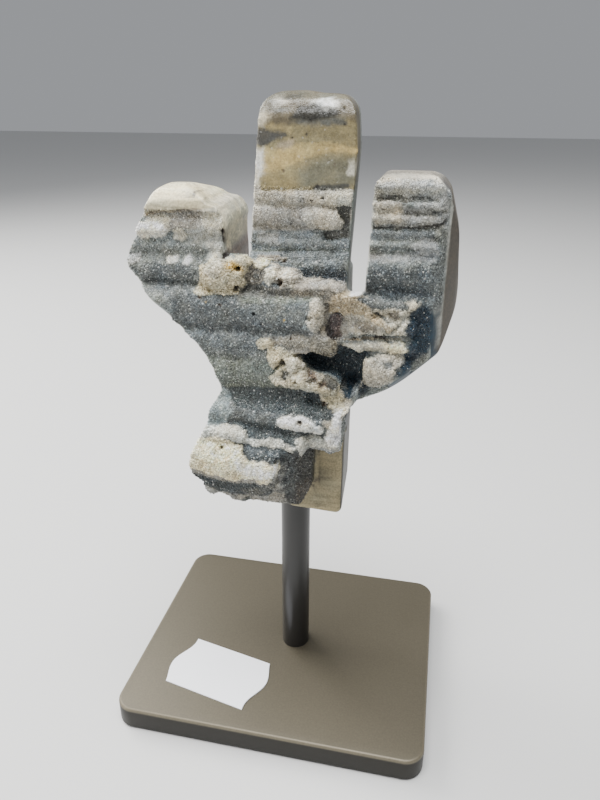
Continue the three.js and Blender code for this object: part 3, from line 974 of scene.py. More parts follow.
BLOTS = [
    # The left arm's front.
    Blot(Tone.CREAM_WHITE, -13.4, 0, 0.2, 0.4, [(144, 206), (150, 187), (162, 181), (190, 181),
        (216, 188), (216, 200), (190, 201), (160, 201)]),
    Blot(Tone.CREAM, -14, 0.15, 0.2, 0.25, [(142, 214), (145, 202), (160, 201), (190, 201), (216, 199),
        (216, 207), (205, 208), (190, 211), (160, 212)]),
    Blot(Tone.BROWN, -14.2, -0.3, 0.15, 0.1, [(146, 213), (160, 211.4), (190, 209.6), (205, 207.4),
        (205, 208.6), (190, 210.8), (160, 212.7), (146, 214.2)]),
    Blot(Tone.TAN, -14.2, 0, 0.15, 0.15, [(143, 214.5), (160, 212), (190, 211), (207, 208),
        (207, 209.6), (190, 212.6), (160, 213.8), (146, 216)]),
    Blot(Tone.WARM_GREY, -14.3, 0, 0.4, 0.5, [(146, 216), (204, 210), (204, 228), (170, 229), (148, 222)]),
    Blot(Tone.IVORY, -14.4, 0.2, 0.4, 0.25, [(148, 217), (168, 215), (170, 226), (160, 223), (147, 222)]),
    Blot(Tone.PEARL, -14.6, 0.4, 0.35, 0.3, [(137, 224), (150, 222), (158, 222), (170, 229), (166, 234),
        (160, 238), (140, 238), (134, 232)]),
    Blot(Tone.IVORY, -14.4, 0.25, 0.4, 0.3, [(174, 231), (183, 230), (187, 236), (182, 241), (174, 240),
        (172, 236)]),
    Blot(Tone.IVORY, -14.3, 0.2, 0.4, 0.35, [(202, 213), (206, 209), (224, 207), (226, 230), (224, 236),
        (210, 232), (202, 224)]),
    Blot(Tone.SILVER, -14.2, 0, 0.7, 1, [(186, 229), (224, 228), (226, 255), (214, 256), (205, 244),
        (190, 240)]),
    Blot(Tone.DARK_BROWN, -14, -0.9, 0.1, 0.15, [(221, 230), (225, 231), (226, 234), (224, 237),
        (227, 243), (230, 248), (233, 250), (230, 253), (227, 259), (224, 258), (225, 250), (223, 243),
        (222, 236)]),
    # Painted shade: a dark line in the crease between two rows, which is also lowered.
    Blot(Tone.DARK, -14.4, -0.25, 0.15, 0.15, [(128, 253), (146, 252.4), (146, 254), (128, 254.8)]),
    Blot(Tone.WHITE, -15, 0.35, 0.35, 0.2, [(165, 258), (177, 257), (178, 262), (172, 264), (166, 262)]),
    Blot(Tone.WHITE, -15, 0.35, 0.35, 0.2, [(185, 257), (190, 255), (192, 262), (189, 266), (183, 264)]),
    Blot(Tone.LIGHT_GREY, -15, 0.3, 0.4, 0.25, [(127, 254.6), (141, 254), (140, 260), (131, 266),
        (127, 260)]),
    Blot(Tone.DEEP_GREY, -15.2, 0, 0.8, 0.9, [(130, 266), (160, 263), (198, 268), (196, 285),
        (185, 294), (155, 293)]),
    Blot(Tone.GREY, -15.8, 0.2, 0.6, 0.5, [(152, 292), (160, 289), (175, 297), (180, 305), (176, 318),
        (165, 314), (153, 302)]),
    Blot(Tone.DEEP_GREY, -16.2, 0, 0.8, 1, [(175, 296), (215, 297), (215, 319), (180, 319)]),
    # The trunk's polished top.
    Blot(Tone.SMOKE, -11.2, 0, 0.3, 0.25, [(266, 109.4), (280, 109), (292, 107.4), (292, 109.6),
        (280, 111), (266, 111)]),
    # Painted highlight: a pale patch standing for a glint on the polished crown.
    Blot(Tone.PALE, -10.8, 0, 0.9, 0.8, [(276, 99), (284, 98), (291, 100), (289, 104), (281, 105.4),
        (276, 103)]),
    # Painted shade: a dark line in the notch between the left arm's dome and its shoulder.
    Blot(Tone.TAUPE, -12, 0, 0.3, 0.2, [(196, 187), (199.4, 188), (199, 199), (196, 199)]),
    Blot(Tone.SOOT, -10.5, 0, 0.3, 0.3, [(280, 98), (290, 95), (300, 94), (303, 96), (295, 98),
        (285, 100)]),
    # Painted highlight: a white patch standing for a glint on the polished crown.
    Blot(Tone.WHITE, -11, 0, 0.9, 0.8, [(314, 103), (322, 100), (336, 101), (340, 106), (330, 107.6),
        (318, 106.6)]),
    # Painted highlight: a pale patch standing for a glint on the polished crown.
    Blot(Tone.IVORY, -11.2, 0, 0.9, 0.9, [(257, 112), (266, 111), (270, 118), (265, 124), (256, 123)]),
    Blot(Tone.DARK, -11.8, 0, 0.5, 0.4, [(253, 126), (262, 128), (270, 130), (285, 131), (289, 134),
        (282, 138), (274, 142), (264, 147), (253, 145)]),
    Blot(Tone.DEEP_OLIVE, -11.9, 0, 0.4, 0.5, [(290, 132), (312, 120), (345, 118), (362, 125),
        (362, 150), (330, 143), (300, 144), (284, 147)]),
    Blot(Tone.YELLOW, -11.9, 0, 0.15, 0.25, [(253, 150), (275, 147), (290, 145), (300, 143), (330, 142),
        (345, 146), (363, 150), (363, 154), (345, 152), (332, 152), (318, 155), (305, 160), (295, 163),
        (288, 168), (275, 172), (262, 174), (253, 172)]),
    Blot(Tone.OLIVE, -11.9, 0, 0.3, 0.5, [(260, 173), (288, 168.5), (305, 160.5), (315, 157),
        (315, 187), (260, 187)]),
    Blot(Tone.MOSS, -11.9, 0, 0.3, 1.5, [(298, 172), (312, 161), (330, 155), (363, 156), (363, 182),
        (350, 187), (300, 189)]),
    Blot(Tone.SMOKE, -11.4, 0, 0.6, 0.6, [(298, 118), (320, 119), (346, 117), (348, 124), (330, 127),
        (312, 127), (300, 124)]),
    Blot(Tone.CHARCOAL, -11.4, 0, 0.5, 0.35, [(291, 118), (295, 111), (300, 106), (311, 104),
        (321, 104.6), (324, 109.6), (334, 107.4), (342, 111.6), (338, 118.4), (324, 119.6),
        (312, 120.6), (300, 118)]),
    Blot(Tone.TAN, -11.8, 0, 0.4, 0.4, [(276, 148.6), (282, 141), (290, 139), (296, 142), (292, 148)]),
    # Painted light: the trunk's lower left rim is painted white, a glow of the light that shines through the
    # thin rim from behind.
    Blot(Tone.WHITE, -12, 0, 0.9, 0.9, [(255, 150), (262, 151), (264, 160), (262, 172), (258, 186),
        (255, 186)]),
    Blot(Tone.DEEP_OLIVE, -11.9, -0.1, 0.2, 0.2, [(262, 186), (300, 186.6), (318, 187.4), (318, 190.6),
        (262, 190.6)]),
    Blot(Tone.IVORY, -11.9, 0.1, 0.8, 0.4, [(348, 168), (352, 159), (358, 159), (357, 171), (351, 177),
        (347, 174)]),
    Blot(Tone.SOOT, -11.9, -0.25, 0.2, 0.25, [(314, 187.6), (322, 184.4), (351, 183.4), (351, 188),
        (335, 190), (314, 190.4)]),
    # The trunk's ridges.
    Blot(Tone.PALE, -12.4, 0, 0.15, 0.2, [(250, 191), (352, 191), (352, 207.6), (250, 208)]),
    Blot(Tone.IVORY, -12.5, 0.3, 0.3, 0.25, [(328, 191.4), (351, 191), (353, 199), (350, 206),
        (338, 206.6), (326, 205.6)]),
    Blot(Tone.WARM_GREY, -12.6, 0, 0.15, 0.2, [(250, 209), (342, 208), (343, 230.4), (250, 231)]),
    Blot(Tone.PALE, -12.7, 0.35, 0.35, 0.25, [(303, 211), (330, 208), (337, 212), (342, 216),
        (343.6, 224), (340, 230.6), (325, 231), (310, 229), (304, 220)]),
    # Painted shade in the recess at the right ends of the trunk's rows, which is also lowered.
    Blot(Tone.SMOKE, -12, -0.9, 0.15, 0.2, [(337, 207.6), (351, 207), (351, 239), (325, 239.4),
        (323.6, 233), (342, 231.4), (345, 223), (341, 213)]),
    Blot(Tone.BLUE_GREY, -12, 0, 0.2, 0.3, [(250, 233), (324, 233), (324, 249), (250, 249)]),
    Blot(Tone.LIGHT_GREY, -12, 0, 0.5, 0.6, [(258, 233), (280, 233), (280, 246), (262, 244)]),
    Blot(Tone.STEEL, -12.2, 0, 0.2, 0.3, [(322, 240.6), (352, 240), (352, 249), (322, 249)]),
    Blot(Tone.GREEN_GREY, -12, -0.3, 0.1, 0.15, [(250, 249.6), (350, 249.6), (350, 251), (250, 251)]),
    Blot(Tone.STEEL, -13, 0, 0.3, 0.6, [(284, 252), (350, 252), (350, 264), (284, 262)]),
    # Partly painted shade: the bottom of the trunk's big lowest ridge is near black, partly its own dark
    # blue-grey and partly painted shade on its round underside.
    Blot(Tone.NIGHT, -13, 0, 0.6, 1.2, [(285, 270), (300, 268), (350, 269), (350, 287), (330, 287),
        (305, 283), (290, 276)]),
    # The right arm's front.
    Blot(Tone.PALE, -12.6, 0, 0.25, 0.5, [(376, 182), (390, 170), (410, 168), (432, 169), (446, 175),
        (450, 182), (446, 182), (430, 180), (410, 179.6), (390, 181), (376, 184)]),
    Blot(Tone.SILVER, -13.2, 0, 0.5, 0.4, [(376, 188.5), (448, 188.5), (448, 195), (376, 195)]),
    # Painted shade: a dark line in the crease between two rows, which is also lowered.
    Blot(Tone.SMOKE, -13, -0.4, 0.3, 0.2, [(377, 197.4), (390, 196), (400, 195.4), (412, 198),
        (420, 196), (430, 197), (441, 200), (440, 203), (425, 203), (415, 203), (400, 200.6),
        (377, 200.4)]),
    Blot(Tone.PALE, -13.5, 0.3, 0.3, 0.25, [(374, 202), (402, 201.6), (404, 212), (402, 225.6),
        (374, 226)]),
    Blot(Tone.LIGHT_GREY, -13.4, 0.1, 0.4, 0.4, [(404, 203), (448, 202), (448, 224), (404, 226)]),
    Blot(Tone.GREY, -13.3, -0.2, 0.5, 0.3, [(402, 201), (418, 202), (412, 210), (404, 208)]),
    Blot(Tone.SMOKE, -13.3, -0.2, 0.4, 0.3, [(404, 213), (448, 212), (448, 215), (404, 216)]),
    # Painted shade: a dark line in the crease between two rows, which is also lowered.
    Blot(Tone.DARK, -13, -0.5, 0.2, 0.15, [(373, 227.4), (385, 226.6), (395, 228), (405, 227),
        (420, 227), (440, 225), (449, 220), (449, 225), (440, 229), (420, 229.4), (400, 229.6),
        (385, 229), (373, 229.6)]),
    Blot(Tone.BLUE_GREY, -12.9, 0, 0.3, 0.3, [(371, 230.6), (436, 230), (436, 240), (371, 240.4)]),
    Blot(Tone.GREY, -13.2, 0, 0.3, 0.3, [(370, 241), (418, 240.6), (416, 251), (370, 251.4)]),
    Blot(Tone.LIGHT_GREY, -13.3, 0.3, 0.7, 0.3, [(413, 243), (425, 240), (440, 244), (441, 260),
        (432, 264), (421, 257), (414, 252)]),
    # Painted shade: a darker line in the crease between two rows, which is also lowered.
    Blot(Tone.GREEN_GREY, -13.2, -0.3, 0.2, 0.2, [(369, 252), (405, 252.6), (416, 251), (416, 253),
        (400, 254.4), (369, 254.4)]),
    Blot(Tone.LIGHT_GREY, -13.9, 0, 0.3, 0.5, [(368, 255), (428, 254.6), (432, 262), (368, 263)]),
    # Partly painted shade: the lower half of the right arm's big ridge is slate, partly its own blue-grey and
    # partly painted shade on its round underside.
    Blot(Tone.SLATE, -13.9, 0, 0.7, 1, [(365, 272), (400, 271), (440, 270), (446, 290), (430, 300),
        (400, 297), (364, 293)]),
    # Painted shade: a dark line in the crease under the big ridge, which is also lowered.
    Blot(Tone.DARK_SLATE, -14.2, -0.4, 0.3, 0.2, [(364, 293), (380, 294), (400, 298), (421, 301),
        (421, 303), (400, 301), (380, 297), (364, 295)]),
    Blot(Tone.DEEP_GREY, -14.9, 0, 0.5, 0.4, [(348, 296), (380, 298), (408, 302), (410, 308),
        (380, 312), (362, 306)]),
    Blot(Tone.IVORY, -14.9, 0.3, 0.6, 0.4, [(408, 302), (414, 300.6), (420, 304), (421, 308),
        (416, 312), (411, 310)]),
    Blot(Tone.IVORY, -15.3, 0.5, 0.6, 0.25, [(372, 312), (395, 310), (411, 312), (408, 318), (400, 324),
        (386, 320)]),
    Blot(Tone.IVORY, -15.3, 0.5, 0.5, 0.3, [(362, 314), (375, 319), (390, 323), (400, 325), (409, 318),
        (412, 322), (406, 330), (408, 336), (403, 339), (388, 337), (372, 336), (358, 334), (350, 328)]),
    Blot(Tone.PALE, -15, -0.2, 0.6, 0.4, [(348, 315), (362, 316), (386, 326), (380, 334), (360, 333),
        (348, 328)]),
    Blot(Tone.SAND, -15.2, -0.15, 0.9, 0.6, [(352, 319), (368, 322), (380, 329), (374, 334), (358, 330)]),
    Blot(Tone.SMOKE, -15.3, -0.15, 0.9, 0.5, [(382, 327), (392, 328), (402, 325), (400, 331), (388, 333)]),
    Blot(Tone.SAND, -15.3, -0.1, 0.9, 0.5, [(386, 313), (400, 314), (404, 319), (392, 321)]),
    Blot(Tone.TAN, -15.1, -0.2, 0.2, 0.2, [(345, 338.6), (358, 337.4), (375, 339.4), (390, 340.4),
        (403, 340.4), (403, 341.6), (375, 341), (355, 340)]),
    Blot(Tone.DARK_BROWN, -15.1, -0.6, 0.2, 0.15, [(352, 337.4), (359, 337), (359, 339), (353, 339.2)]),
    Blot(Tone.DARK_BROWN, -15.1, -0.5, 0.2, 0.15, [(374, 338.6), (386, 338.4), (386, 340.6), (374, 340.2)]),
    Blot(Tone.IVORY, -15.1, 0.2, 0.5, 0.3, [(344, 343), (375, 342.6), (403, 343), (408, 350),
        (402, 353), (385, 352), (360, 352), (346, 350)]),
    Blot(Tone.CREAM_WHITE, -15.2, 0.5, 0.5, 0.3, [(382, 343.4), (403, 344), (409, 350), (404, 356),
        (390, 353)]),
    Blot(Tone.PALE, -15.2, 0.8, 0.7, 0.25, [(364, 361), (380, 355), (395, 354), (406, 357), (402, 365),
        (398, 371), (392, 379), (380, 389), (368, 393), (361, 389), (364, 376), (359, 368)]),
    Blot(Tone.LIGHT_GREY, -15.2, -0.3, 0.5, 0.4, [(384, 362), (396, 361), (394, 370), (386, 371)]),
    Blot(Tone.BLUE_BLACK, -13, 0, 0.6, 0.5, [(409, 320), (413, 312), (422, 305), (433, 308), (443, 318),
        (440, 335), (430, 352), (418, 362), (404, 374), (397, 377), (401, 363), (409, 350), (411, 338),
        (407, 330)]),
    Blot(Tone.STEEL, -12.5, 0, 0.7, 0.9, [(431, 262), (449, 250), (449, 290), (441, 318), (430, 306)]),
    # The broken crust across the middle.
    Blot(Tone.CREAM, -17, 0.85, 0.5, 0.25, [(194, 290), (199, 282), (200, 269), (205, 266), (209, 260),
        (215, 257), (217, 262), (225, 262), (231, 257), (241, 256), (253, 257), (254, 262), (250, 266),
        (246, 272), (244, 278), (247, 284), (243, 290), (238, 295), (228, 294), (218, 293), (208, 295),
        (200, 293)]),
    Blot(Tone.IVORY, -17.4, 0, 0.8, 0.6, [(206, 268), (212, 261), (224, 264), (222, 274), (212, 280),
        (204, 276)]),
    Blot(Tone.OCHRE, -17.4, 0, 0.3, 0.4, [(226, 264), (234, 262), (241, 266), (243, 271), (236, 272),
        (228, 268)]),
    Blot(Tone.SAND, -16.4, -0.3, 0.4, 0.4, [(248, 266), (255, 263), (262, 269), (265, 280), (259, 287),
        (249, 288), (246, 280)]),
    Blot(Tone.DARK, -16.8, -0.5, 0.15, 0.15, disc(255, 277, 6.8)),
    Blot(Tone.SAND, -16.8, -0.4, 0.1, 0.12, disc(255, 277, 5.2)),
    Blot(Tone.SOOT, -16.8, -0.5, 0.1, 0.12, disc(255, 277, 3.8)),
    Blot(Tone.SMOKE, -16.8, -0.4, 0.1, 0.1, disc(255, 277, 2.2)),
    Blot(Tone.STONE, -15.6, 0.4, 0.5, 0.3, [(250, 252), (276, 251.6), (285, 256), (284, 262),
        (276, 263), (268, 262), (255, 260)]),
    Blot(Tone.CREAM_WHITE, -16, 0.6, 0.4, 0.25, [(254, 262), (268, 260), (271, 264), (262, 268),
        (255, 267)]),
    Blot(Tone.IVORY, -16.4, 0.6, 0.5, 0.2, [(264.6, 270), (270, 268), (275, 267), (276, 275),
        (275, 282), (271, 285), (265, 282)]),
    Blot(Tone.SAND, -16.6, 0.5, 0.6, 0.3, [(275, 268), (283, 267.6), (296, 272), (303, 280), (299, 286),
        (288, 288), (281, 287), (275, 282)]),
    Blot(Tone.PALE, -16.6, 0.6, 0.5, 0.3, [(277, 274), (286, 271), (298, 275), (302, 280), (290, 279),
        (280, 278.6)]),
    Blot(Tone.IVORY, -16.6, 0.5, 0.5, 0.3, [(286, 284), (296, 285), (306, 283), (303, 288), (292, 289)]),
    Blot(Tone.STONE, -16.8, 0.4, 0.5, 0.25, [(298, 279), (306, 281), (320, 282), (346, 286), (351, 293),
        (342, 296), (330, 290), (315, 290), (303, 291), (294, 288)]),
    Blot(Tone.SAND, -16.8, 0, 0.5, 0.5, [(262, 288), (300, 290), (340, 292), (332, 299), (300, 298),
        (262, 298)]),
    Blot(Tone.SMOKE, -16.8, 0, 0.4, 0.4, [(240, 287), (262, 289), (290, 291), (292, 297), (262, 297.6),
        (240, 297)]),
    Blot(Tone.GREEN_GREY, -18.2, 0.15, 0.4, 0.4, [(240, 298.6), (321, 299), (321, 304), (280, 304),
        (240, 303)]),
    Blot(Tone.PALE, -18.4, 0.45, 0.35, 0.2, [(311, 304), (314, 300), (321, 299.6), (324, 306),
        (323.6, 320), (320.6, 331), (316, 334), (311, 331), (308, 322), (311, 312)]),
    Blot(Tone.DEEP_GREY, -18.6, 0, 1, 1.2, [(195, 318), (240, 316), (300, 322), (306, 336), (250, 338),
        (205, 336)]),
    Blot(Tone.SAND, -17, -0.2, 0.4, 0.4, [(322, 300), (330, 299), (334, 303), (331, 312), (327, 325),
        (328, 336), (322, 338), (320.6, 333), (323.6, 320), (324, 308)]),
    Blot(Tone.TAN, -16, 0.5, 0.3, 0.25, [(330, 303), (338, 293), (345, 290), (352, 297), (362, 304),
        (374, 312), (368, 313), (355, 309), (345, 312), (338, 310), (331, 314)]),
    Blot(Tone.TAN, -16, 0.8, 0.2, 0.2, [(346, 296), (360, 305), (380, 320), (394, 330), (390, 333),
        (375, 324), (358, 311), (346, 301)]),
    Blot(Tone.DARK_BROWN, -14.5, -1.3, 0.2, 0.25, [(333, 314), (338, 311), (342, 311.6), (345, 315),
        (347, 325), (344, 334), (338, 338.6), (333, 335), (330, 330), (327.6, 327), (329, 321)]),
    Blot(Tone.PINK_BROWN, -14.5, -1, 0.3, 0.3, [(334, 316), (343, 314), (348, 321), (348, 330),
        (342, 336), (337, 333), (334, 325)]),
    Blot(Tone.WARM_GREY, -14.5, -0.8, 0.3, 0.4, [(343, 315), (350, 318), (350, 334), (343, 335),
        (341, 325)]),
    Blot(Tone.TAUPE, -17, 0.6, 0.4, 0.25, [(321, 338), (330, 338), (336, 343), (337, 352), (334, 358),
        (330, 361), (326, 357), (320, 353), (313, 350), (311, 344)]),
    Blot(Tone.TAUPE, -19, 0.1, 0.6, 0.6, [(262, 340), (300, 338), (322, 340), (311, 349), (292, 351),
        (276, 346)]),
    Blot(Tone.CREAM, -19.4, 0.6, 0.5, 0.2, [(257, 342), (264, 339.6), (272, 342), (276, 348),
        (282, 350), (293, 352), (296, 356), (288, 361), (280, 370), (270, 366), (268, 358), (268, 350),
        (259, 349)]),
    Blot(Tone.CREAM, -19.8, 0.8, 0.5, 0.2, [(292, 357), (302, 359.6), (305, 365), (310, 371),
        (318, 374), (330, 376), (337, 382), (341, 386), (338, 392), (345, 396), (346, 401), (341, 405),
        (344, 411), (330, 410), (322, 404), (314, 395), (300, 390), (288, 388), (275, 384), (270, 378),
        (276, 371), (288, 366)]),
    Blot(Tone.IVORY, -19.8, 0.9, 0.5, 0.4, [(288, 358), (300, 358), (305, 365), (306, 376), (298, 384),
        (290, 378), (287, 368)]),
    Blot(Tone.TAUPE, -19.8, 0.5, 0.5, 0.4, [(303, 370), (316, 372), (322, 380), (316, 387), (305, 384)]),
    Blot(Tone.SOOT, -19.8, 0.3, 0.5, 0.4, [(320, 374), (331, 376), (338, 381), (341, 386), (337, 392),
        (328, 389), (322, 381)]),
    Blot(Tone.IVORY, -19.6, 0.3, 0.5, 0.4, [(283, 385), (300, 387), (318, 391), (325, 401), (316, 399),
        (300, 391), (286, 389.6)]),
    Blot(Tone.IVORY, -20, 0.7, 0.4, 0.3, [(270, 379), (279, 376), (288, 384), (285, 388), (275, 384)]),
    Blot(Tone.SMOKE, -19.4, 0.1, 0.6, 0.4, [(283, 368), (290, 371), (289, 383), (282, 377)]),
    Blot(Tone.BROWN, -20.2, -0.3, 0.3, 0.4, [(306, 372), (314, 376), (318, 382), (314, 385), (308, 379)]),
    Blot(Tone.BROWN, -20.2, -0.3, 0.3, 0.4, [(318, 384), (325, 383), (327, 388), (321, 390)]),
    # Painted shadow: the shadow that the crust's edge casts into the hollow.
    Blot(Tone.BLUE_BLACK, -14, 0, 0.4, 0.4, [(345, 377), (353, 376), (358, 381), (357, 389), (352, 394),
        (347, 390), (344, 384)]),
    Blot(Tone.DARK_SLATE, -19.6, -0.3, 0.3, 0.3, [(230, 388), (262, 389), (300, 391), (318, 398),
        (320, 404), (337, 412), (337, 419), (312, 416), (300, 412), (280, 411), (250, 407), (236, 404),
        (230, 398)]),
    # The lump at the lower left.
    Blot(Tone.PALE_BLUE, -19.5, 0.25, 0.4, 0.3, [(222, 389), (229, 391), (232, 399), (230, 404),
        (236, 408), (230, 420), (222, 430), (210, 424), (209, 414), (213, 402)]),
    Blot(Tone.DARK_SLATE, -21.4, 0, 0.5, 0.6, [(232, 421), (262, 423), (296, 436), (294, 446),
        (262, 440), (247, 434), (226, 428)]),
    Blot(Tone.WHITE, -22, 0.5, 0.45, 0.2, [(276, 421), (284, 418), (303, 418), (312, 423), (322, 428),
        (324, 433), (320, 438), (308, 436), (296, 435), (284, 430), (277, 427)]),
    Blot(Tone.TAUPE, -22, 0.3, 0.3, 0.2, [(297, 421), (301, 420.4), (304, 423), (302, 426), (298, 425.4)]),
    Blot(Tone.GLARE, -20.6, 0.35, 0.35, 0.2, [(332, 425), (336, 414), (341.5, 413), (342, 436),
        (340, 447), (330, 446), (325, 440), (328, 432)]),
    Blot(Tone.SILVER, -20.8, 0.5, 0.45, 0.2, [(297, 437), (310, 437), (322, 438), (328, 445),
        (340, 446), (342, 450), (338, 455), (330, 456), (318, 452), (305, 452), (299, 446)]),
    Blot(Tone.LIGHT_GREY, -20.8, 0.1, 0.5, 0.3, [(304, 448), (342, 449), (341, 457), (318, 456),
        (306, 454)]),
    Blot(Tone.SILVER, -23, 0.45, 0.4, 0.2, [(206, 428), (225, 427), (238, 430), (247, 434), (249, 440),
        (262, 441), (275, 441), (290, 447), (297, 450), (292, 453), (275, 448), (258, 446), (244, 444),
        (230, 442), (215, 440), (200, 441), (202, 433)]),
    Blot(Tone.SLATE, -23.4, -0.15, 0.3, 0.3, [(228, 443), (245, 446), (262, 448), (280, 450),
        (292, 455), (286, 466), (275, 467), (262, 463), (248, 461), (242, 452), (236, 448)]),
    Blot(Tone.CREAM_WHITE, -24.6, 0.9, 0.4, 0.2, [(200, 441), (214, 440), (226, 443), (233, 448),
        (240, 450), (243, 456), (249, 461), (262, 463), (270, 465), (275, 468), (281, 470), (279, 475),
        (273, 478), (268, 484), (262, 485), (257, 479), (247, 478), (240, 480.6), (230, 479.4),
        (220, 475.4), (210, 474), (202, 470), (190, 467), (190, 452)]),
    Blot(Tone.PEARL, -24.6, 0, 0.8, 1.3, [(240, 464), (250, 465), (262, 466), (275, 470), (277, 474),
        (262, 479), (242, 474)]),
    Blot(Tone.DARK_SLATE, -23, 0, 0.4, 0.3, [(192, 469), (202, 472), (212, 475.6), (225, 479),
        (240, 482), (257, 481), (263, 486), (272, 480), (278, 482), (270, 498), (225, 497), (203, 486)]),
    Blot(Tone.SMOKE, -22.6, 0.1, 0.5, 0.4, [(240, 490), (262, 486), (276, 480), (280, 484), (268, 494),
        (250, 498)]),
    Blot(Tone.LIGHT_GREY, -22.4, 0.3, 0.3, 0.25, [(207, 484), (216, 488), (223, 495), (209, 495),
        (205, 488)]),
    Blot(Tone.STEEL, -22, 0.2, 0.2, 0.2, [(243, 499), (250, 499), (248, 506), (241, 505)]),
]
PIN_HOLES = [
    PinHole(Tone.DARK_BROWN, -14, 0.35, 0.8, (223, 231)),
    PinHole(Tone.DARK_BROWN, -17.6, 0.5, 1.2, (238, 269.5)),
    PinHole(Tone.DARK_BROWN, -17.8, 0.63, 1.3, (235, 290)),
    PinHole(Tone.BROWN, -17.6, 0.28, 0.5, (208, 275.5)),
    PinHole(Tone.BROWN, -17.6, 0.2, 0.3, (220, 277)),
    PinHole(Tone.BROWN, -17.4, 0.35, 0.5, (200, 296)),
    PinHole(Tone.BROWN, -17.4, 0.59, 0.9, (280, 284)),
    PinHole(Tone.BROWN, -17, 0.3, 0.5, (281, 265)),
    PinHole(Tone.BROWN, -18.8, 0.28, 0.5, (311.4, 319)),
    PinHole(Tone.DARK_BROWN, -18.4, 0.35, 0.7, (254.4, 315)),
    PinHole(Tone.DARK_BROWN, -18.4, 0.33, 0.6, (262, 324)),
    PinHole(Tone.OCHRE, -18.4, 0.24, 0, (285, 321)),
    PinHole(Tone.BROWN, -18.6, 0.26, 0.4, (291, 338.6)),
    PinHole(Tone.BROWN, -17.6, 0.26, 0.3, (222, 304)),
    PinHole(Tone.BROWN, -18.4, 0.24, 0.3, (229.6, 326)),
    PinHole(Tone.OCHRE, -17.6, 0.2, 0, (206, 301)),
    PinHole(Tone.BROWN, -18.4, 0.22, 0.3, (290, 329)),
    PinHole(Tone.DARK_BROWN, -19.8, 0.74, 1.2, (282.6, 364.4)),
    PinHole(Tone.DARK_BROWN, -20.2, 0.37, 0.8, (296, 383.6)),
    PinHole(Tone.BROWN, -20, 0.28, 0.5, (291, 378)),
    PinHole(Tone.BROWN, -20.4, 0.41, 0.5, (322.6, 407.6)),
    PinHole(Tone.DARK_BROWN, -22.2, 0.35, 0.6, (300, 423)),
    PinHole(Tone.DARK_BROWN, -24.8, 0.41, 0.9, (220.4, 450)),
    PinHole(Tone.BROWN, -23, 0.35, 0.5, (290, 455)),
    PinHole(Tone.DARK, -12.4, 0.33, 0.6, (323, 198.6)),
    PinHole(Tone.DARK, -12.4, 0.24, 0.4, (327, 194.6)),
    PinHole(Tone.DARK, -12.4, 0.28, 0.4, (305.6, 200)),
    PinHole(Tone.DARK, -12.4, 0.22, 0.3, (312, 202)),
    PinHole(Tone.DARK, -12.4, 0.2, 0.3, (302, 201.6)),
    PinHole(Tone.DARK, -12.6, 0.2, 0.3, (290, 225)),
    PinHole(Tone.DARK, -12, 0.28, 0.3, (265, 242)),
    PinHole(Tone.DARK, -12, 0.26, 0.3, (254, 241.6)),
    PinHole(Tone.BROWN, -12.7, 0.2, 0.3, (332, 213)),
    PinHole(Tone.DARK_BROWN, -12, 0.24, 0.4, (292, 138.6)),
    PinHole(Tone.DARK_BROWN, -11.8, 0.26, 0.4, (346, 124.4)),
    PinHole(Tone.DARK_BROWN, -11.6, 0.24, 0.4, (345, 108)),
    PinHole(Tone.DARK_BROWN, -12, 0.2, 0.3, (307.4, 135)),
    PinHole(Tone.BROWN, -12, 0.28, 0.2, (284, 170.6)),
    PinHole(Tone.BROWN, -12, 0.28, 0.2, (336, 164)),
    PinHole(Tone.DARK_BROWN, -12, 0.35, 0.4, (318, 186.4)),
    PinHole(Tone.DARK_BROWN, -13.6, 0.2, 0.4, (384, 209.4)),
    PinHole(Tone.DARK_BROWN, -13.6, 0.2, 0.4, (389, 207.2)),
    PinHole(Tone.DARK_BROWN, -13.6, 0.2, 0.4, (392, 206.4)),
    PinHole(Tone.DARK_BROWN, -15.2, 0.35, 0.8, (356, 337.8)),
    PinHole(Tone.BROWN, -15.4, 0.26, 0.4, (390, 348)),
    PinHole(Tone.BROWN, -16.6, 0.24, 0.4, (297, 276)),
    PinHole(Tone.BROWN, -15.8, 0.22, 0.3, (152, 243)),
    PinHole(Tone.DARK, -16, 0.2, 0.3, (172, 306)),
    PinHole(Tone.DARK, -16, 0.2, 0.3, (170, 312)),
]
HOLLOW_SEEN = [
    (293, 354.4), (300, 357.6), (304, 363), (310, 370), (318, 373), (330, 376), (337, 381), (341, 386),
    (338, 392), (345, 396), (350, 398), (356, 392), (362, 388), (364, 378), (363, 368), (366, 362),
    (360, 357), (350, 351), (341, 349), (337, 350), (334, 358.6), (330, 361.4), (325, 358), (321, 354),
    (314, 351), (308, 353.4), (302, 352.4), (296, 352),
]


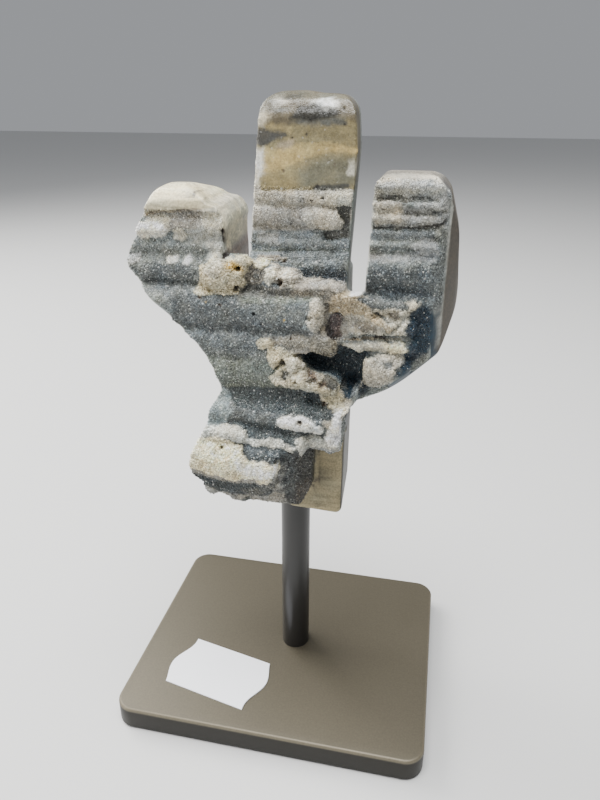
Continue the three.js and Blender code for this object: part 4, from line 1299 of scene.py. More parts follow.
@dataclass
class CactusStone:
    """The carved stone: smooth limbs, natural ridges, pits and their colours."""

    voxel: float = 0.33
    rough_voxel: float = 0.4
    most_triangles: int = 196000
    hole_radius: float = 3.95
    hole_bottom: float = 40.0
    hole_top: float = 84.05
    hole_x: float = 1.5
    hole_y: float = 0.6
    # gap_shade: how dark the painted shade between the crystals is.
    gap_shade: float = 0.35
    polish_rounds: int = 14
    seed: int = 5

    def crowned(self, crown: list[Corner]) -> bpy.types.Object:
        """Makes everything under a limb's crown line, from its front to its back.

        Args:
            crown: (Y, Z) places along the crown, from the front.

        Returns:
            The closed solid.
        """
        front, bottom, side, soft = -30, 50, 60, 3
        last_z = crown[-1][1]
        profile = [(front, bottom), (BACK, bottom), (BACK, last_z - CROWN_DROP_AT_BACK)]
        profile += [(y, z, soft) for y, z in crown[::-1]]
        profile += [(front, crown[0][1] - 1)]
        return bar("crown", profile, -side, side)

    def trunk(self) -> bpy.types.Object:
        """Makes the trunk's carved outline.

        Returns:
            The closed solid.
        """
        left, right, top, front, taper = -5.0, 14.9, 146.4, -16.0, 2.3
        outline = [
            (left - 0.4, 84), (right - 0.2, 84), (right, 112, 30), (right + 1.0, 136.4, 12),
            (right + 0.3, top - 0.7, 8.6), (8.2, top - 0.5, 2), (5.4, top, 2),
            (left + 2.5, top - 0.4, 4.0), (left + 1.6, 137, 6), (left + 0.7, 126, 8), (left, 119, 8),
        ]
        piece = slab("trunk", outline, front, BACK)
        points = read_points(piece)
        across = (points[:, 0] - left) / (right - left)
        lean = taper + 0.6 * (1 - smooth_step(114, 127, points[:, 2]))
        points[:, 0] -= lean * across * (points[:, 1] - front) / (BACK - front)
        write_points(piece, points)
        return combine(piece, self.crowned(TRUNK_CROWN), "INTERSECT")

    def foot(self) -> bpy.types.Object:
        """Makes the trunk's flat-cut lower end.

        Returns:
            The closed solid.
        """
        left, right, bottom, front, taper = -11.2, 14.4, 55.8, -8.6, 0.05
        outline = [
            (1.4, bottom + 0.6, 1), (right, bottom, 1.4), (right + 0.3, 92), (left, 92),
            (left - 0.6, 80, 3), (left, 60.4, 3), (1.8, 59.8, 1.2),
        ]
        piece = slab("foot", outline, front, BACK, 0.8, 1.0)
        points = read_points(piece)
        points[:, 0] -= taper * (points[:, 1] - front) / (BACK - front) * (points[:, 0] - left)
        write_points(piece, points)
        return piece

    def left_arm(self) -> bpy.types.Object:
        """Makes the left arm's carved outline, with the slot between it and the trunk.

        Returns:
            The closed solid.
        """
        top, front = 129.8, -18.5
        outline = [
            (4, 86), (4, top), (-23.4, top, 4.2), (-26.3, 124.4, 4), (-28.6, 119.6, 2),
            (-30.5, 116.4, 1.2), (-30.3, 114.3, 1.4), (-27.7, 110.7, 3), (-24.7, 107.3, 8),
            (-15.2, 99.9, 8), (-11.7, 95.2, 5), (-10.6, 86),
        ]
        piece = slab("left_arm", outline, front, BACK, 1.6, 4.1)
        combine(piece, self.crowned(LEFT_ARM_CROWN), "INTERSECT")
        return combine(piece, self.left_slot(top, front), "DIFFERENCE")

    def left_slot(self, top: float, front: float) -> bpy.types.Object:
        """Makes the cut between the left arm and the trunk, whose arm side leans away to the back.

        Args:
            top: Z of the arm's top.
            front: Y of the arm's front.

        Returns:
            The closed solid that is cut away.
        """
        wall, lean, drop = -9.45, 2.5, 1.6
        outline = [
            (wall, 115.4), (-5.2, 115.4), (-2, top + 4), (wall - 8.8, top + 4),
            (wall - 8.4, top + 0.2, 3), (wall - 5.0, top - 0.9, 3), (wall - 3.2, top - 2.0, 0.5),
            (wall - 2.9, top - 2.8, 0.5), (wall - 0.7, top - 3.2, 1.4), (wall + 0.6, top - 5.8, 2.4),
            (wall + 0.4, 119),
        ]
        slot = slab("slot", outline, front - 8, BACK + 6)
        points = read_points(slot)
        backward = np.maximum(0, (points[:, 1] - front) / (BACK - front))
        arm_side = points[:, 0] < wall + 1.0
        points[:, 0] -= np.where(arm_side, lean * backward, 0)
        high = arm_side & (points[:, 2] > 120)
        points[:, 2] -= np.where(high, drop * np.maximum(0, backward - 0.5), 0)
        write_points(slot, points)
        return slot

    def right_arm(self) -> bpy.types.Object:
        """Makes the right arm's carved outline, with its bulging side and the slot beside the trunk.

        Returns:
            The closed solid.
        """
        wall, tip, top, front = 18.0, 35.9, 133.4, -18.5
        outline = [
            (4, 83), (15, 86, 8), (25, 90.6, 14), (33, 97, 12), (tip + 0.2, 107, 14),
            (tip - 0.9, 121.6, 12), (32.8, 129.2, 3), (30.4, 132.0, 3), (26.4, top, 6), (4, top),
        ]
        plan = [
            (-4, front), (28.2, front), (31.2, -13, 6), (33.4, -9, 8),
            (tip, -3, 12), (tip, 4, 12), (tip - 1, BACK + 1), (-4, BACK + 1),
        ]
        underside = [(-20, 70), (24.6, 89.3, 26), (37, 101.6, 20), (48, 150), (-20, 150)]
        slot = [
            (8, 111), (wall, 111), (wall + 0.7, 127.5), (wall + 1.0, 130.8, 1), (wall + 2.1, 132.2, 1.2),
            (wall + 4.8, 132.8, 1.5), (wall + 5.5, top + 4), (6, top + 4),
        ]
        piece = slab("right_arm", outline, front, BACK, 2.6, 7.2)
        combine(piece, self.crowned(RIGHT_ARM_CROWN), "INTERSECT")
        combine(piece, column("bulging_side", plan, 80, 140), "INTERSECT")
        combine(piece, slab("underside", underside, front, BACK, 8.8, 12.2), "INTERSECT")
        return combine(piece, slab("slot", slot, front - 8, BACK + 6), "DIFFERENCE")

    def crust(self) -> bpy.types.Object:
        """Makes the room for the crust that stands forward of the limbs.

        Returns:
            The closed solid.
        """
        outline = [
            (-9.4, 88), (15, 86), (20, 92, 3), (19, 110.6), (14.6, 110.8), (14.5, 120), (-3.6, 120),
            (-4.2, 117.4), (-14.6, 117.4, 2), (-18.6, 109, 3), (-21.4, 104.6, 3), (-15.2, 99.9, 4),
            (-11.7, 94.6, 3),
        ]
        return slab("crust", outline, -21.8, -6, 1.6, 3.4)

    def lump(self) -> bpy.types.Object:
        """Makes the room for the lump at the lower left.

        Returns:
            The closed solid.
        """
        outline = [
            (-9.2, 91.6), (-12.1, 86.4, 3), (-12.7, 82.8, 1.5), (-14.2, 80.0, 2), (-15.4, 77.0, 3),
            (-16.0, 73.0, 2.5), (-14.0, 69.4, 1.5), (-13.2, 66.4, 2), (-11.2, 65.4, 1.5),
            (-4.4, 62.8, 2), (5.4, 61.9, 1.4), (7.7, 64.6, 1.4), (8.2, 77.6), (15, 77.6), (14.9, 92),
        ]
        broken_end = [
            (2.0, -30), (14, -30), (14, -8.7), (8.8, -8.7), (7.8, -13, 3), (5.4, -18, 3),
            (2.4, -22.4, 1.5),
        ]
        piece = slab("lump", outline, -27, -3, 0.7, 2.0)
        return combine(piece, column("broken_end", broken_end, 50, 77.9), "DIFFERENCE")

    def slot_floor(self, left: Numbers, right: Numbers, height: float) -> bpy.types.Object:
        """Makes the cut that lets a slot's floor fall away to the back.

        Args:
            left: X of the slot's left side at the front and at the back.
            right: X of its right side at the front and at the back.
            height: Z of the floor at the front.

        Returns:
            The closed solid that is cut away.
        """
        front, back, drop, room = -13.2, BACK + 2, 8.0, 6.0
        plan = [(left[0], front), (right[0], front), (right[1], back), (left[1], back)]
        floor = [(x, y, height - (drop if y == back else 0)) for x, y in plan]
        ceiling = [(x, y, height + room) for x, y in plan]
        return shell("slot_floor", [np.array(floor), np.array(ceiling)])

    def limbs(self) -> bpy.types.Object:
        """Joins all the carved limbs into one smooth solid.

        Returns:
            The closed solid.
        """
        whole = self.trunk()
        for part in (self.foot, self.left_arm, self.right_arm, self.crust, self.lump):
            combine(whole, part(), "UNION")
        combine(whole, self.slot_floor((-9.5, -12.2), (-5.05, -5.05), 115.5), "DIFFERENCE")
        combine(whole, self.slot_floor((14.75, 12.4), (18.0, 18.0), 110.9), "DIFFERENCE")
        whole.name = "limbs"
        return whole

    def core(self) -> list[bpy.types.Object]:
        """Makes the mass behind the ridges, a little lower than they are.

        Returns:
            The closed solids.
        """
        back = BACK - 1
        trunk = [
            (back, 50), (back, 150), (-11.9, 150), (-11.9, 129.4), (-11.2, 129),
            (-11.2, 111), (-15.6, 110), (-15.6, 88), (-8.6, 86), (-8.6, 50),
        ]
        left_arm = [
            (back, 80), (back, 140), (-15.4, 140), (-15.4, 125.4), (-13.1, 124.6),
            (-13.9, 112), (-14.8, 109), (-13.5, 96), (-12, 80),
        ]
        right_arm = [(back, 80), (back, 140), (-12.2, 140), (-12.2, 118), (-12.8, 109), (-11.5, 80)]
        lump = [(-2.8, 61.4), (-2.8, 92), (-18.6, 92), (-20.6, 80), (-21.4, 70), (-19.4, 64.4), (-14, 61.4)]
        lump_top = [(-6, 79.4), (-6, 92), (-17.4, 92), (-18.4, 79.4)]
        parts = (
            (trunk, -14, 18), (left_arm, -36, -9), (right_arm, 17, 38), (lump, -20, 8.0),
            (lump_top, -20, 18),
        )
        return [bar("core", profile, left, right) for profile, left, right in parts]

    def natural_mass(self) -> bpy.types.Object:
        """Joins the core, all the ridges and the lumps into one uncut rough mass.

        Returns:
            The closed solid.
        """
        parts = self.core()
        parts += [ridge.build(seed) for seed, ridge in enumerate(FRONT_RIDGES)]
        parts += [ridge.build(seed + 50) for seed, ridge in enumerate(BACK_RIDGES)]
        parts += [lump.build(seed) for seed, lump in enumerate(CRUST_LUMPS)]
        mass = gather("mass", parts)
        apply_modifier(mass, "REMESH", mode="VOXEL", voxel_size=self.rough_voxel * MM)
        return mass

    def holes(self) -> bpy.types.Object:
        """Makes the rod's hole, the hollow under the crust and the pits.

        Returns:
            The closed solid that is cut away.
        """
        ends = (self.hole_bottom, self.hole_top)
        whole = cylinder(64, self.hole_radius, self.hole_x, self.hole_y, ends)
        hollow = slab("hollow", VIEW.on_plane(HOLLOW_SEEN, HOLLOW_PLANE), -30, HOLLOW_BACK)
        combine(whole, hollow, "UNION")
        for seed, pit in enumerate(PITS):
            combine(whole, pit.build(seed, 0.2), "UNION")
        return whole

    def relief(self, points: np.ndarray, drift: np.ndarray) -> tuple[np.ndarray, np.ndarray]:
        """Works out how far crusts and pits stand off the ridges, and where the crust is coarse.

        Args:
            points: N x 3 places of the smooth surface.
            drift: N x 3 random shifts of the borders.

        Returns:
            The lift in millimetres and the coarseness from 0 to 1, N numbers each.
        """
        lift = np.zeros(len(points))
        coarse = np.zeros(len(points))
        for blot in BLOTS:
            if blot.lift:
                cover = blot.cover(points, drift)
                lift += (0.7 * blot.lift - lift) * cover
                coarse += ((blot.lift > Blot.COARSE_FROM) - coarse) * cover
        for hole in PIN_HOLES:
            lift -= hole.depth * hole.cover(points, drift)
        return lift, coarse

    def roughness(self, points: np.ndarray, coarse: np.ndarray) -> np.ndarray:
        """Works out the height of the sugary grain on the natural surface.

        Args:
            points: N x 3 places of the smooth surface.
            coarse: N numbers from 0 to 1, how coarse the crust is.

        Returns:
            N heights in millimetres.
        """
        waves = 0.16 * grain(points, 3.4, 1) + 0.10 * grain(points, 1.2, 2)
        fine = 0.2 * (0.5 - pebbles(points, 0.6))
        large = 0.12 * (0.5 - pebbles(points, 1.15)) + 0.2 * grain(points, 1.8, 8)
        return waves + fine + large * coarse - 0.08

    def colours(
        self, points: np.ndarray, normals: np.ndarray, natural: np.ndarray, drift: np.ndarray
    ) -> np.ndarray:
        """Works out the stone's colour at every point.

        Args:
            points: N x 3 places.
            normals: N x 3 directions of the bare surface.
            natural: N numbers, 1 on crystal crust and 0 on polished faces.
            drift: N x 3 random shifts of the borders.

        Returns:
            N x 3 linear colours.
        """
        tint = np.tile(Tone.GREY.linear(), (len(points), 1))
        for band in BANDS:
            tint = band.tone.over(tint, band.cover(points, normals, drift))
        side = (1 - natural) * smooth_step(-0.8, -0.6, normals[:, 1])
        for band in POLISHED:
            tint = band.tone.over(tint, band.cover(points, normals, drift) * side)
        forward = smooth_step(-0.35, 0.05, -normals[:, 1])
        for blot in BLOTS:
            tint = blot.tone.over(tint, blot.cover(points, drift) * forward)
        for hole in PIN_HOLES:
            tint = hole.tone.over(tint, hole.cover(points, drift))
        # Painted light: cut faces at the front that turn to the left are painted towards white, a painted
        # glow of the light that shines through the thin left rims from behind.
        rim = smooth_step(0.35, 0.8, -normals[:, 0]) * (1 - natural)
        rim *= 1 - smooth_step(-12.5, -10, points[:, 1])
        tint = Tone.WHITE.over(tint, 0.55 * rim)
        hue = 0.6 * grain(points, 3.0, 20) + 0.5 * grain(points, 0.7, 21) * (0.3 + 0.7 * natural)
        warm_to_cool = np.array([0.8, 0.1, -1.0])
        tint = tint * (1 + 0.16 * hue[:, None] * warm_to_cool)
        # Partly real, partly painted light: natural faces that look up are paler, partly as frosted tops and
        # partly as painted top light; faces that look down are darker, partly their own blue-grey and partly
        # painted shade.
        upward = 1 + 0.42 * normals[:, 2] * natural
        cloud = 1 + 0.2 * grain(points, 6, 6) + 0.24 * grain(points, 1.6, 7)
        cloud += 0.34 * grain(points, 0.8, 12) * natural
        cut = (1 - natural) * smooth_step(0.4, 0.8, np.abs(normals[:, 0]))
        cloud *= 1 + self.rings(points) * np.maximum(0.3 * cut, 0.45 * self.end_face(points))
        return np.clip(tint * (upward * cloud)[:, None], 0.003, 0.9)

    def end_face(self, points: np.ndarray) -> np.ndarray:
        """Says where the lump's broken right end is.

        Args:
            points: N x 3 places.

        Returns:
            N numbers from 0 to 1.
        """
        x, y, z = points.T
        border = np.interp(y, (-22.4, -18, -13, -8.7), (2.4, 5.2, 7.6, 8.6))
        low = 1 - smooth_step(78.0, 78.8, z)
        return smooth_step(-0.7, -0.2, x - border) * low * smooth_step(8.9, 9.3, -y)

    def rings(self, points: np.ndarray) -> np.ndarray:
        """Works out the growth rings of the stalactites, which show where they are cut across.

        Args:
            points: N x 3 places.

        Returns:
            N numbers from -1 to 1.
        """
        x, y, z = points.T
        nearest = np.full(len(points), np.inf)
        for ridge in (*FRONT_RIDGES, *BACK_RIDGES):
            half_height = (ridge.top - ridge.bottom) / 2
            reach = np.hypot((y - ridge.axis()) / Ridge.HALF_DEPTH, (z - ridge.middle()) / half_height)
            beside = (x > ridge.start - 1) & (x < ridge.end + 1)
            nearest = np.where(beside, np.minimum(nearest, reach), nearest)
        phase = 2.4 * np.minimum(nearest, 4.0) + 0.5 * grain(points, 1.8, 14)
        return np.sin(math.tau * phase) * (1 - smooth_step(1.6, 2.6, nearest))

    def natural(
        self, points: np.ndarray, normals: np.ndarray, reach: np.ndarray, drift: np.ndarray
    ) -> np.ndarray:
        """Works out where the surface is natural crust and where it is cut and polished.

        Args:
            points: N x 3 places.
            normals: N x 3 directions of the bare surface.
            reach: N distances from the carved outline, in millimetres.
            drift: N x 3 random shifts of the borders.

        Returns:
            N numbers, 1 on crust and 0 on polished faces.
        """
        x, front, z = points[:, 0], -points[:, 1], points[:, 2]
        crust = smooth_step(0.10, 0.35, reach)
        arm_front = smooth_step(29, 30, x) * smooth_step(107, 109, z) * smooth_step(9.8, 10.6, front)
        crust = np.maximum(crust, arm_front)
        trunk_top = (z > 129.8) & (np.abs(x - 5) < 12) & (normals[:, 1] < -0.3)
        crust = np.where(trunk_top, 0.45 - 0.15 * smooth_step(138, 142, z), crust)
        foot_front = (z < 79) & (front < 9.4) & (front > 7.6)
        crust = np.where(foot_front, 0.0, crust)
        end_face = self.end_face(points)
        crust = crust * (1 - end_face) + 0.92 * end_face
        lump_front = smooth_step(19.0, 19.6, front) * (1 - smooth_step(116, 118, z))
        trunk_edge = between((12.4, 13.4), (19.2, 20), x) * smooth_step(10.5, 11.5, front)
        trunk_edge *= between((76, 78), (96.5, 98), z)
        brow = smooth_step(16.5, 17.5, x) * smooth_step(128.5, 129.5, z) * smooth_step(11.4, 12.2, front)
        crust = np.maximum.reduce([crust, lump_front, trunk_edge, brow])
        for blot in BLOTS:
            if blot.tone is Tone.BLUE_BLACK:
                crust = crust * (1 - 0.35 * blot.cover(points, drift))
        return crust

    def polish(self, stone: bpy.types.Object, crust: np.ndarray) -> None:
        """Softens the edges between polished faces and leaves the crust as it is.

        Args:
            stone: the stone.
            crust: N numbers, 1 on crust and 0 on polished faces.
        """
        group = stone.vertex_groups.new(name="polished")
        for index in np.flatnonzero(crust < 0.2).tolist():
            group.add([index], 1.0, "REPLACE")
        apply_modifier(stone, "SMOOTH", vertex_group="polished", factor=0.5, iterations=self.polish_rounds)

    def thin(self, stone: bpy.types.Object) -> None:
        """Thins the stone's mesh to its triangle limit.

        Args:
            stone: the stone.
        """
        stone.data.calc_loop_triangles()
        share = self.most_triangles / len(stone.data.loop_triangles)
        LOG.info("stone before thinning: %d triangles", len(stone.data.loop_triangles))
        if share < 1:
            apply_modifier(stone, "DECIMATE", ratio=share, use_collapse_triangulate=True)

    def build(self) -> bpy.types.Object:
        """Builds the whole stone.

        Returns:
            The stone, with the attributes gap (the painted shade between the crystals), tint, crust, gloss
            and coarse on its points.
        """
        # Unless it is set, the seed of wander's pattern is the clock, and no two runs are the same.
        noise.seed_set(self.seed)
        limbs = self.limbs()
        surface = BVHTree.FromObject(limbs, bpy.context.evaluated_depsgraph_get())
        stone = self.natural_mass()
        combine(stone, limbs, "INTERSECT")
        combine(stone, self.holes(), "DIFFERENCE")
        apply_modifier(stone, "REMESH", mode="VOXEL", voxel_size=self.voxel * MM, use_smooth_shade=True)
        points = read_points(stone)
        normals = read_normals(stone)
        reach = np.array([surface.find_nearest(p)[3] for p in (points * MM).tolist()]) / MM
        drift = wander(points, 1.7, 4) * 0.8 + wander(points, 0.7, 5) * 0.8
        crust = self.natural(points, normals, reach, drift)
        lift, coarse = self.relief(points, drift)
        forward = 0.3 * normals + np.array([0.0, -0.8, 0.0])
        outward = np.where((lift > 0)[:, None], forward, normals)
        moved = points + outward * (lift * smooth_step(0.05, 0.3, crust))[:, None]
        moved += normals * (self.roughness(points, coarse) * crust)[:, None]
        moved += normals * (0.03 * grain(points, 5.0, 3) * (1 - crust))[:, None]
        tint = self.colours(points, normals, crust, drift)
        write_points(stone, moved)
        # Painted shade: on the crust the surface between the crystals is darkened by gap, more where the tint
        # is dark, standing for the shade in the gaps; the crystals divide it out again.
        gap = 1 - self.gap_shade * crust * (0.4 + 0.6 * darkness(tint))
        tint *= gap[:, None]
        store(stone, "gap", gap)
        store(stone, "tint", np.column_stack([tint, np.ones(len(tint))]))
        store(stone, "crust", crust)
        store(stone, "gloss", smooth_step(0.2, 0.7, normals[:, 2]) * smooth_step(120, 124, points[:, 2]))
        store(stone, "coarse", coarse)
        self.polish(stone, crust)
        self.thin(stone)
        rename(stone, "druzy_stone")
        return stone


def darkness(colours: np.ndarray) -> np.ndarray:
    """Returns 1 for dark linear colours, 0 for pale ones and a smooth ramp between them."""
    return 1 - smooth_step(0.1, 0.34, colours.mean(axis=1))


@dataclass(frozen=True)
class Scatter:
    """Where the crystals stand: their feet, directions, radii and colours, one row each."""

    place: np.ndarray
    axis: np.ndarray
    size: np.ndarray
    colour: np.ndarray

    def part(self, rows: slice) -> "Scatter":
        """Returns the crystals of some rows."""
        return Scatter(self.place[rows], self.axis[rows], self.size[rows], self.colour[rows])


@dataclass(frozen=True)
class DruzeCrystals:
    """Small quartz points that cover the stone's natural faces."""

    count: int = 96000
    per_piece: int = 24000
    sides: int = 5
    small: float = 0.12
    large: float = 0.31
    lean: float = 0.5
    glints: float = 0.03
    glint_size: float = 0.65
    calm: float = 0.15
    contrast: float = 0.3
    coarse_growth: float = 0.4
    sunk: float = 0.5
    bare_x: float = 1.5
    bare_y: float = 0.6
    bare_radius: float = 4.6
    bare_top: float = 85.0
    seed: int = 11

    def build(self, stone: bpy.types.Object) -> list[bpy.types.Object]:
        """Scatters the crystals over the stone.

        Args:
            stone: the finished stone with its attributes.

        Returns:
            The crystal meshes.
        """
        draw = np.random.default_rng(self.seed)
        crystals = self.scatter(stone, draw)
        pieces = []
        for first in range(0, self.count, self.per_piece):
            rows = slice(first, min(first + self.per_piece, self.count))
            name = f"druzy_points_{first // self.per_piece + 1}"
            pieces.append(self.cluster(name, crystals.part(rows), draw))
        return pieces

    def scatter(self, stone: bpy.types.Object, draw: np.random.Generator) -> Scatter:
        """Draws where the crystals stand, with their sizes and colours.

        Args:
            stone: the finished stone with its attributes.
            draw: the source of chance.

        Returns:
            The crystals.
        """
        stone.data.calc_loop_triangles()
        triangles = np.empty(len(stone.data.loop_triangles) * 3, dtype=np.int64)
        stone.data.loop_triangles.foreach_get("vertices", triangles)
        triangles = triangles.reshape(-1, 3)
        points = read_points(stone)
        a, b, c = (points[triangles[:, k]] for k in range(3))
        across = np.cross(b - a, c - a)
        area = np.linalg.norm(across, axis=1)
        middle = (a + b + c) / 3
        bare = np.hypot(middle[:, 0] - self.bare_x, middle[:, 1] - self.bare_y) < self.bare_radius
        bare &= middle[:, 2] < self.bare_top
        weight = area * (fetch(stone, "crust")[triangles].mean(axis=1) > 0.5) * ~bare
        chosen = draw.choice(len(triangles), self.count, p=weight / weight.sum())
        share = draw.dirichlet((1.0, 1.0, 1.0), self.count)
        corner = triangles[chosen]
        place = np.einsum("nk,nkd->nd", share, points[corner])
        colour = np.einsum("nk,nkd->nd", share, fetch(stone, "tint", True)[corner])
        rough = np.einsum("nk,nk->n", share, fetch(stone, "coarse")[corner])
        # The crystals take the tint without the painted gap shade.
        colour[:, :3] /= np.einsum("nk,nk->n", share, fetch(stone, "gap")[corner])[:, None]
        axis = across[chosen] / area[chosen, None] + self.lean * draw.normal(size=(self.count, 3))
        axis /= np.linalg.norm(axis, axis=1, keepdims=True)
        size = self.small + (self.large - self.small) * draw.random(self.count) ** 1.5
        size *= 1 + self.coarse_growth * rough
        spread = self.calm + self.contrast * darkness(colour[:, :3])
        bright = np.exp(draw.normal(0.0, 1.0, self.count) * spread).clip(0.3, 2.4)
        # Painted highlights: the glints are a few smaller crystals painted towards white, standing for facets
        # that catch the light.
        shines = draw.random(self.count) < self.glints
        glint = np.where(shines, draw.uniform(0.6, 1.0, self.count), 0)
        size *= np.where(shines, self.glint_size, 1.0)
        colour[:, :3] = np.clip(colour[:, :3] * bright[:, None], 0.002, 0.85)
        colour[:, :3] += (Tone.WHITE.linear() - colour[:, :3]) * glint[:, None]
        return Scatter(place, axis, size, colour)

    def cluster(self, name: str, crystals: Scatter, draw: np.random.Generator) -> bpy.types.Object:
        """Makes one mesh of many pointed crystals.

        Args:
            name: the mesh's name.
            crystals: where they stand, with their sizes and colours.
            draw: the source of chance.

        Returns:
            The object.
        """
        place, axis, size = crystals.place, crystals.axis, crystals.size
        count, n = len(place), self.sides
        helper = np.where(np.abs(axis[:, :1]) < 0.8, (1.0, 0.0, 0.0), (0.0, 0.0, 1.0))
        right = np.cross(axis, helper)
        right /= np.linalg.norm(right, axis=1, keepdims=True)
        ahead = np.cross(axis, right)
        turn = draw.uniform(0, math.tau, count)
        foot = place - axis * size[:, None] * self.sunk
        corners = []
        for k in range(n):
            angle = turn + math.tau * k / n + draw.uniform(-0.2, 0.2, count)
            reach = size * draw.uniform(0.8, 1.15, count)
            sideways = right * (np.cos(angle) * reach)[:, None]
            corners.append(foot + sideways + ahead * (np.sin(angle) * reach)[:, None])
        tip = place + axis * (size * draw.uniform(0.5, 1.1, count))[:, None]
        tip += right * (size * draw.uniform(-0.3, 0.3, count))[:, None]
        block = np.stack([*corners, tip], axis=1).reshape(-1, 3)
        start = np.arange(count)[:, None] * (n + 1)
        template = [(k, (k + 1) % n, n) for k in range(n)] + [(0, k + 1, k) for k in range(1, n - 1)]
        faces = np.concatenate([start + np.array(face)[None] for face in template], axis=1).reshape(-1, 3)
        mesh = bpy.data.meshes.new(name)
        mesh.vertices.add(len(block))
        mesh.vertices.foreach_set("co", (block * MM).ravel())
        mesh.loops.add(faces.size)
        mesh.loops.foreach_set("vertex_index", faces.ravel())
        mesh.polygons.add(len(faces))
        mesh.polygons.foreach_set("loop_start", np.arange(len(faces)) * 3)
        mesh.update(calc_edges=True)
        piece = bpy.data.objects.new(name, mesh)
        bpy.context.scene.collection.objects.link(piece)
        store(piece, "tint", np.repeat(crystals.colour, n + 1, axis=0))
        store(piece, "crust", np.ones(len(block)))
        store(piece, "gloss", np.zeros(len(block)))
        store(piece, "coarse", np.full(len(block), DruzyQuartz.POINT))
        return piece


# ---- Shader maths ----------------------------------------------------------------------------------


class Shader:
    """A material's node tree, with one method that adds any node."""

    def __init__(self, name: str) -> None:
        """Starts an empty material.

        Args:
            name: the material's name.
        """
        self.material = bpy.data.materials.new(name)
        self.material.use_nodes = True
        self.tree = self.material.node_tree
        self.tree.nodes.clear()

    def feed(self, socket: bpy.types.NodeSocket, value: object) -> None:
        """Links a Signal to an input, or sets a constant on it.

        Args:
            socket: the input.
            value: a Signal, or the constant.
        """
        if isinstance(value, Signal):
            self.tree.links.new(value.socket, socket)
        else:
            socket.default_value = value

    def node(self, kind: str, settings: dict[str, object] | None = None, **sockets: object) -> bpy.types.Node:
        """Adds one node.

        Args:
            kind: the node's type name without its ShaderNode start.
            settings: the node's own settings, which are set first.
            sockets: a value or a Signal for each input, named with _ for a space, or in{number}.

        Returns:
            The node.
        """
        made = self.tree.nodes.new("ShaderNode" + kind)
        for name, value in (settings or {}).items():
            setattr(made, name, value)
        for name, value in sockets.items():
            numbered = name[:2] == "in" and name[2:].isdigit()
            self.feed(made.inputs[int(name[2:]) if numbered else name.replace("_", " ")], value)
        return made

    def out(self, node: bpy.types.Node, name: str | int = 0) -> "Signal":
        """Returns one output of a node as a Signal."""
        return Signal(self, node.outputs[name])

    def place(self) -> "Signal":
        """Returns the place on the object, in metres."""
        return self.out(self.node("TexCoord"), "Object")

    def attribute(self, name: str, output: str = "Fac") -> "Signal":
        """Returns what an attribute holds."""
        return self.out(self.node("Attribute", {"attribute_name": name}), output)

    def noise(self, place: "Signal", pitch: float, detail: float = 2.0, distortion: float = 0.0) -> "Signal":
        """Adds cloudy noise.

        Args:
            place: the place it is read at.
            pitch: how far apart its waves lie, in millimetres.
            detail: how many finer waves it has.
            distortion: how much it is twisted.

        Returns:
            Its value, about 0.5.
        """
        scale = 1 / (pitch * MM)
        return self.out(
            self.node("TexNoise", None, Vector=place, Scale=scale, Detail=detail, Distortion=distortion)
        )

    def constant(self, colour: Numbers) -> "Signal":
        """Adds one colour.

        Args:
            colour: the linear colour with its alpha.

        Returns:
            The colour.
        """
        made = self.node("RGB")
        made.outputs[0].default_value = colour
        return self.out(made)

    def mix(self, share: "Signal", low: "Signal", high: object) -> "Signal":
        """Mixes two colours.

        Args:
            share: how much of the second one it takes, from 0 to 1.
            low: the first colour.
            high: the second colour.

        Returns:
            The mixed colour.
        """
        made = self.node("Mix", {"data_type": "RGBA"}, in0=share, in6=low, in7=high)
        return self.out(made, 2)

    def vector(self, operation: str, first: "Signal", second: object) -> "Signal":
        """Adds one Vector Math node of two vectors."""
        return self.out(self.node("VectorMath", {"operation": operation}, in0=first, in1=second))

    def scaled(self, colour: "Signal", factor: "Signal") -> "Signal":
        """Multiplies a colour or vector by a number."""
        return self.out(self.node("VectorMath", {"operation": "SCALE"}, in0=colour, Scale=factor))

    def bump(self, strength: float, distance: float, height: "Signal", **normal: "Signal") -> "Signal":
        """Adds one Bump node.

        Args:
            strength: its strength, from 0 to 1.
            distance: how high a height of 1 is, in millimetres.
            height: the height.
            normal: the Normal that it starts from, if there is one.

        Returns:
            The bumped normal.
        """
        made = self.node("Bump", None, Strength=strength, Distance=distance * MM, Height=height, **normal)
        return self.out(made, "Normal")

    def finish(self, shader: bpy.types.Node) -> bpy.types.Material:
        """Connects the last shader to the output.

        Args:
            shader: the last shader.

        Returns:
            The material.
        """
        output = self.node("OutputMaterial")
        self.tree.links.new(shader.outputs[0], output.inputs[0])
        return self.material


class Signal:
    """One number or colour that runs through a shader, on whose numbers Python's operators work."""

    def __init__(self, shader: Shader, socket: bpy.types.NodeSocket) -> None:
        """Wraps an output socket."""
        self.shader = shader
        self.socket = socket

    def _math(self, operation: str, first: object, second: object) -> "Signal":
        """Adds one Math node."""
        return self.shader.out(self.shader.node("Math", {"operation": operation}, in0=first, in1=second))

    def __add__(self, other: object) -> "Signal":
        """Adds."""
        return self._math("ADD", self, other)

    __radd__ = __add__

    def __mul__(self, other: object) -> "Signal":
        """Multiplies."""
        return self._math("MULTIPLY", self, other)

    __rmul__ = __mul__

    def __sub__(self, other: object) -> "Signal":
        """Subtracts."""
        return self._math("SUBTRACT", self, other)

    def __rsub__(self, other: object) -> "Signal":
        """Subtracts this from another."""
        return self._math("SUBTRACT", other, self)

    def ramp(self, low: float, high: float) -> "Signal":
        """Returns 0 below low, 1 above high and a smooth ramp between them."""
        steps = {"interpolation_type": "SMOOTHSTEP"}
        return self.shader.out(self.shader.node("MapRange", steps, Value=self, From_Min=low, From_Max=high))


# ---- Finishes --------------------------------------------------------------------------------------


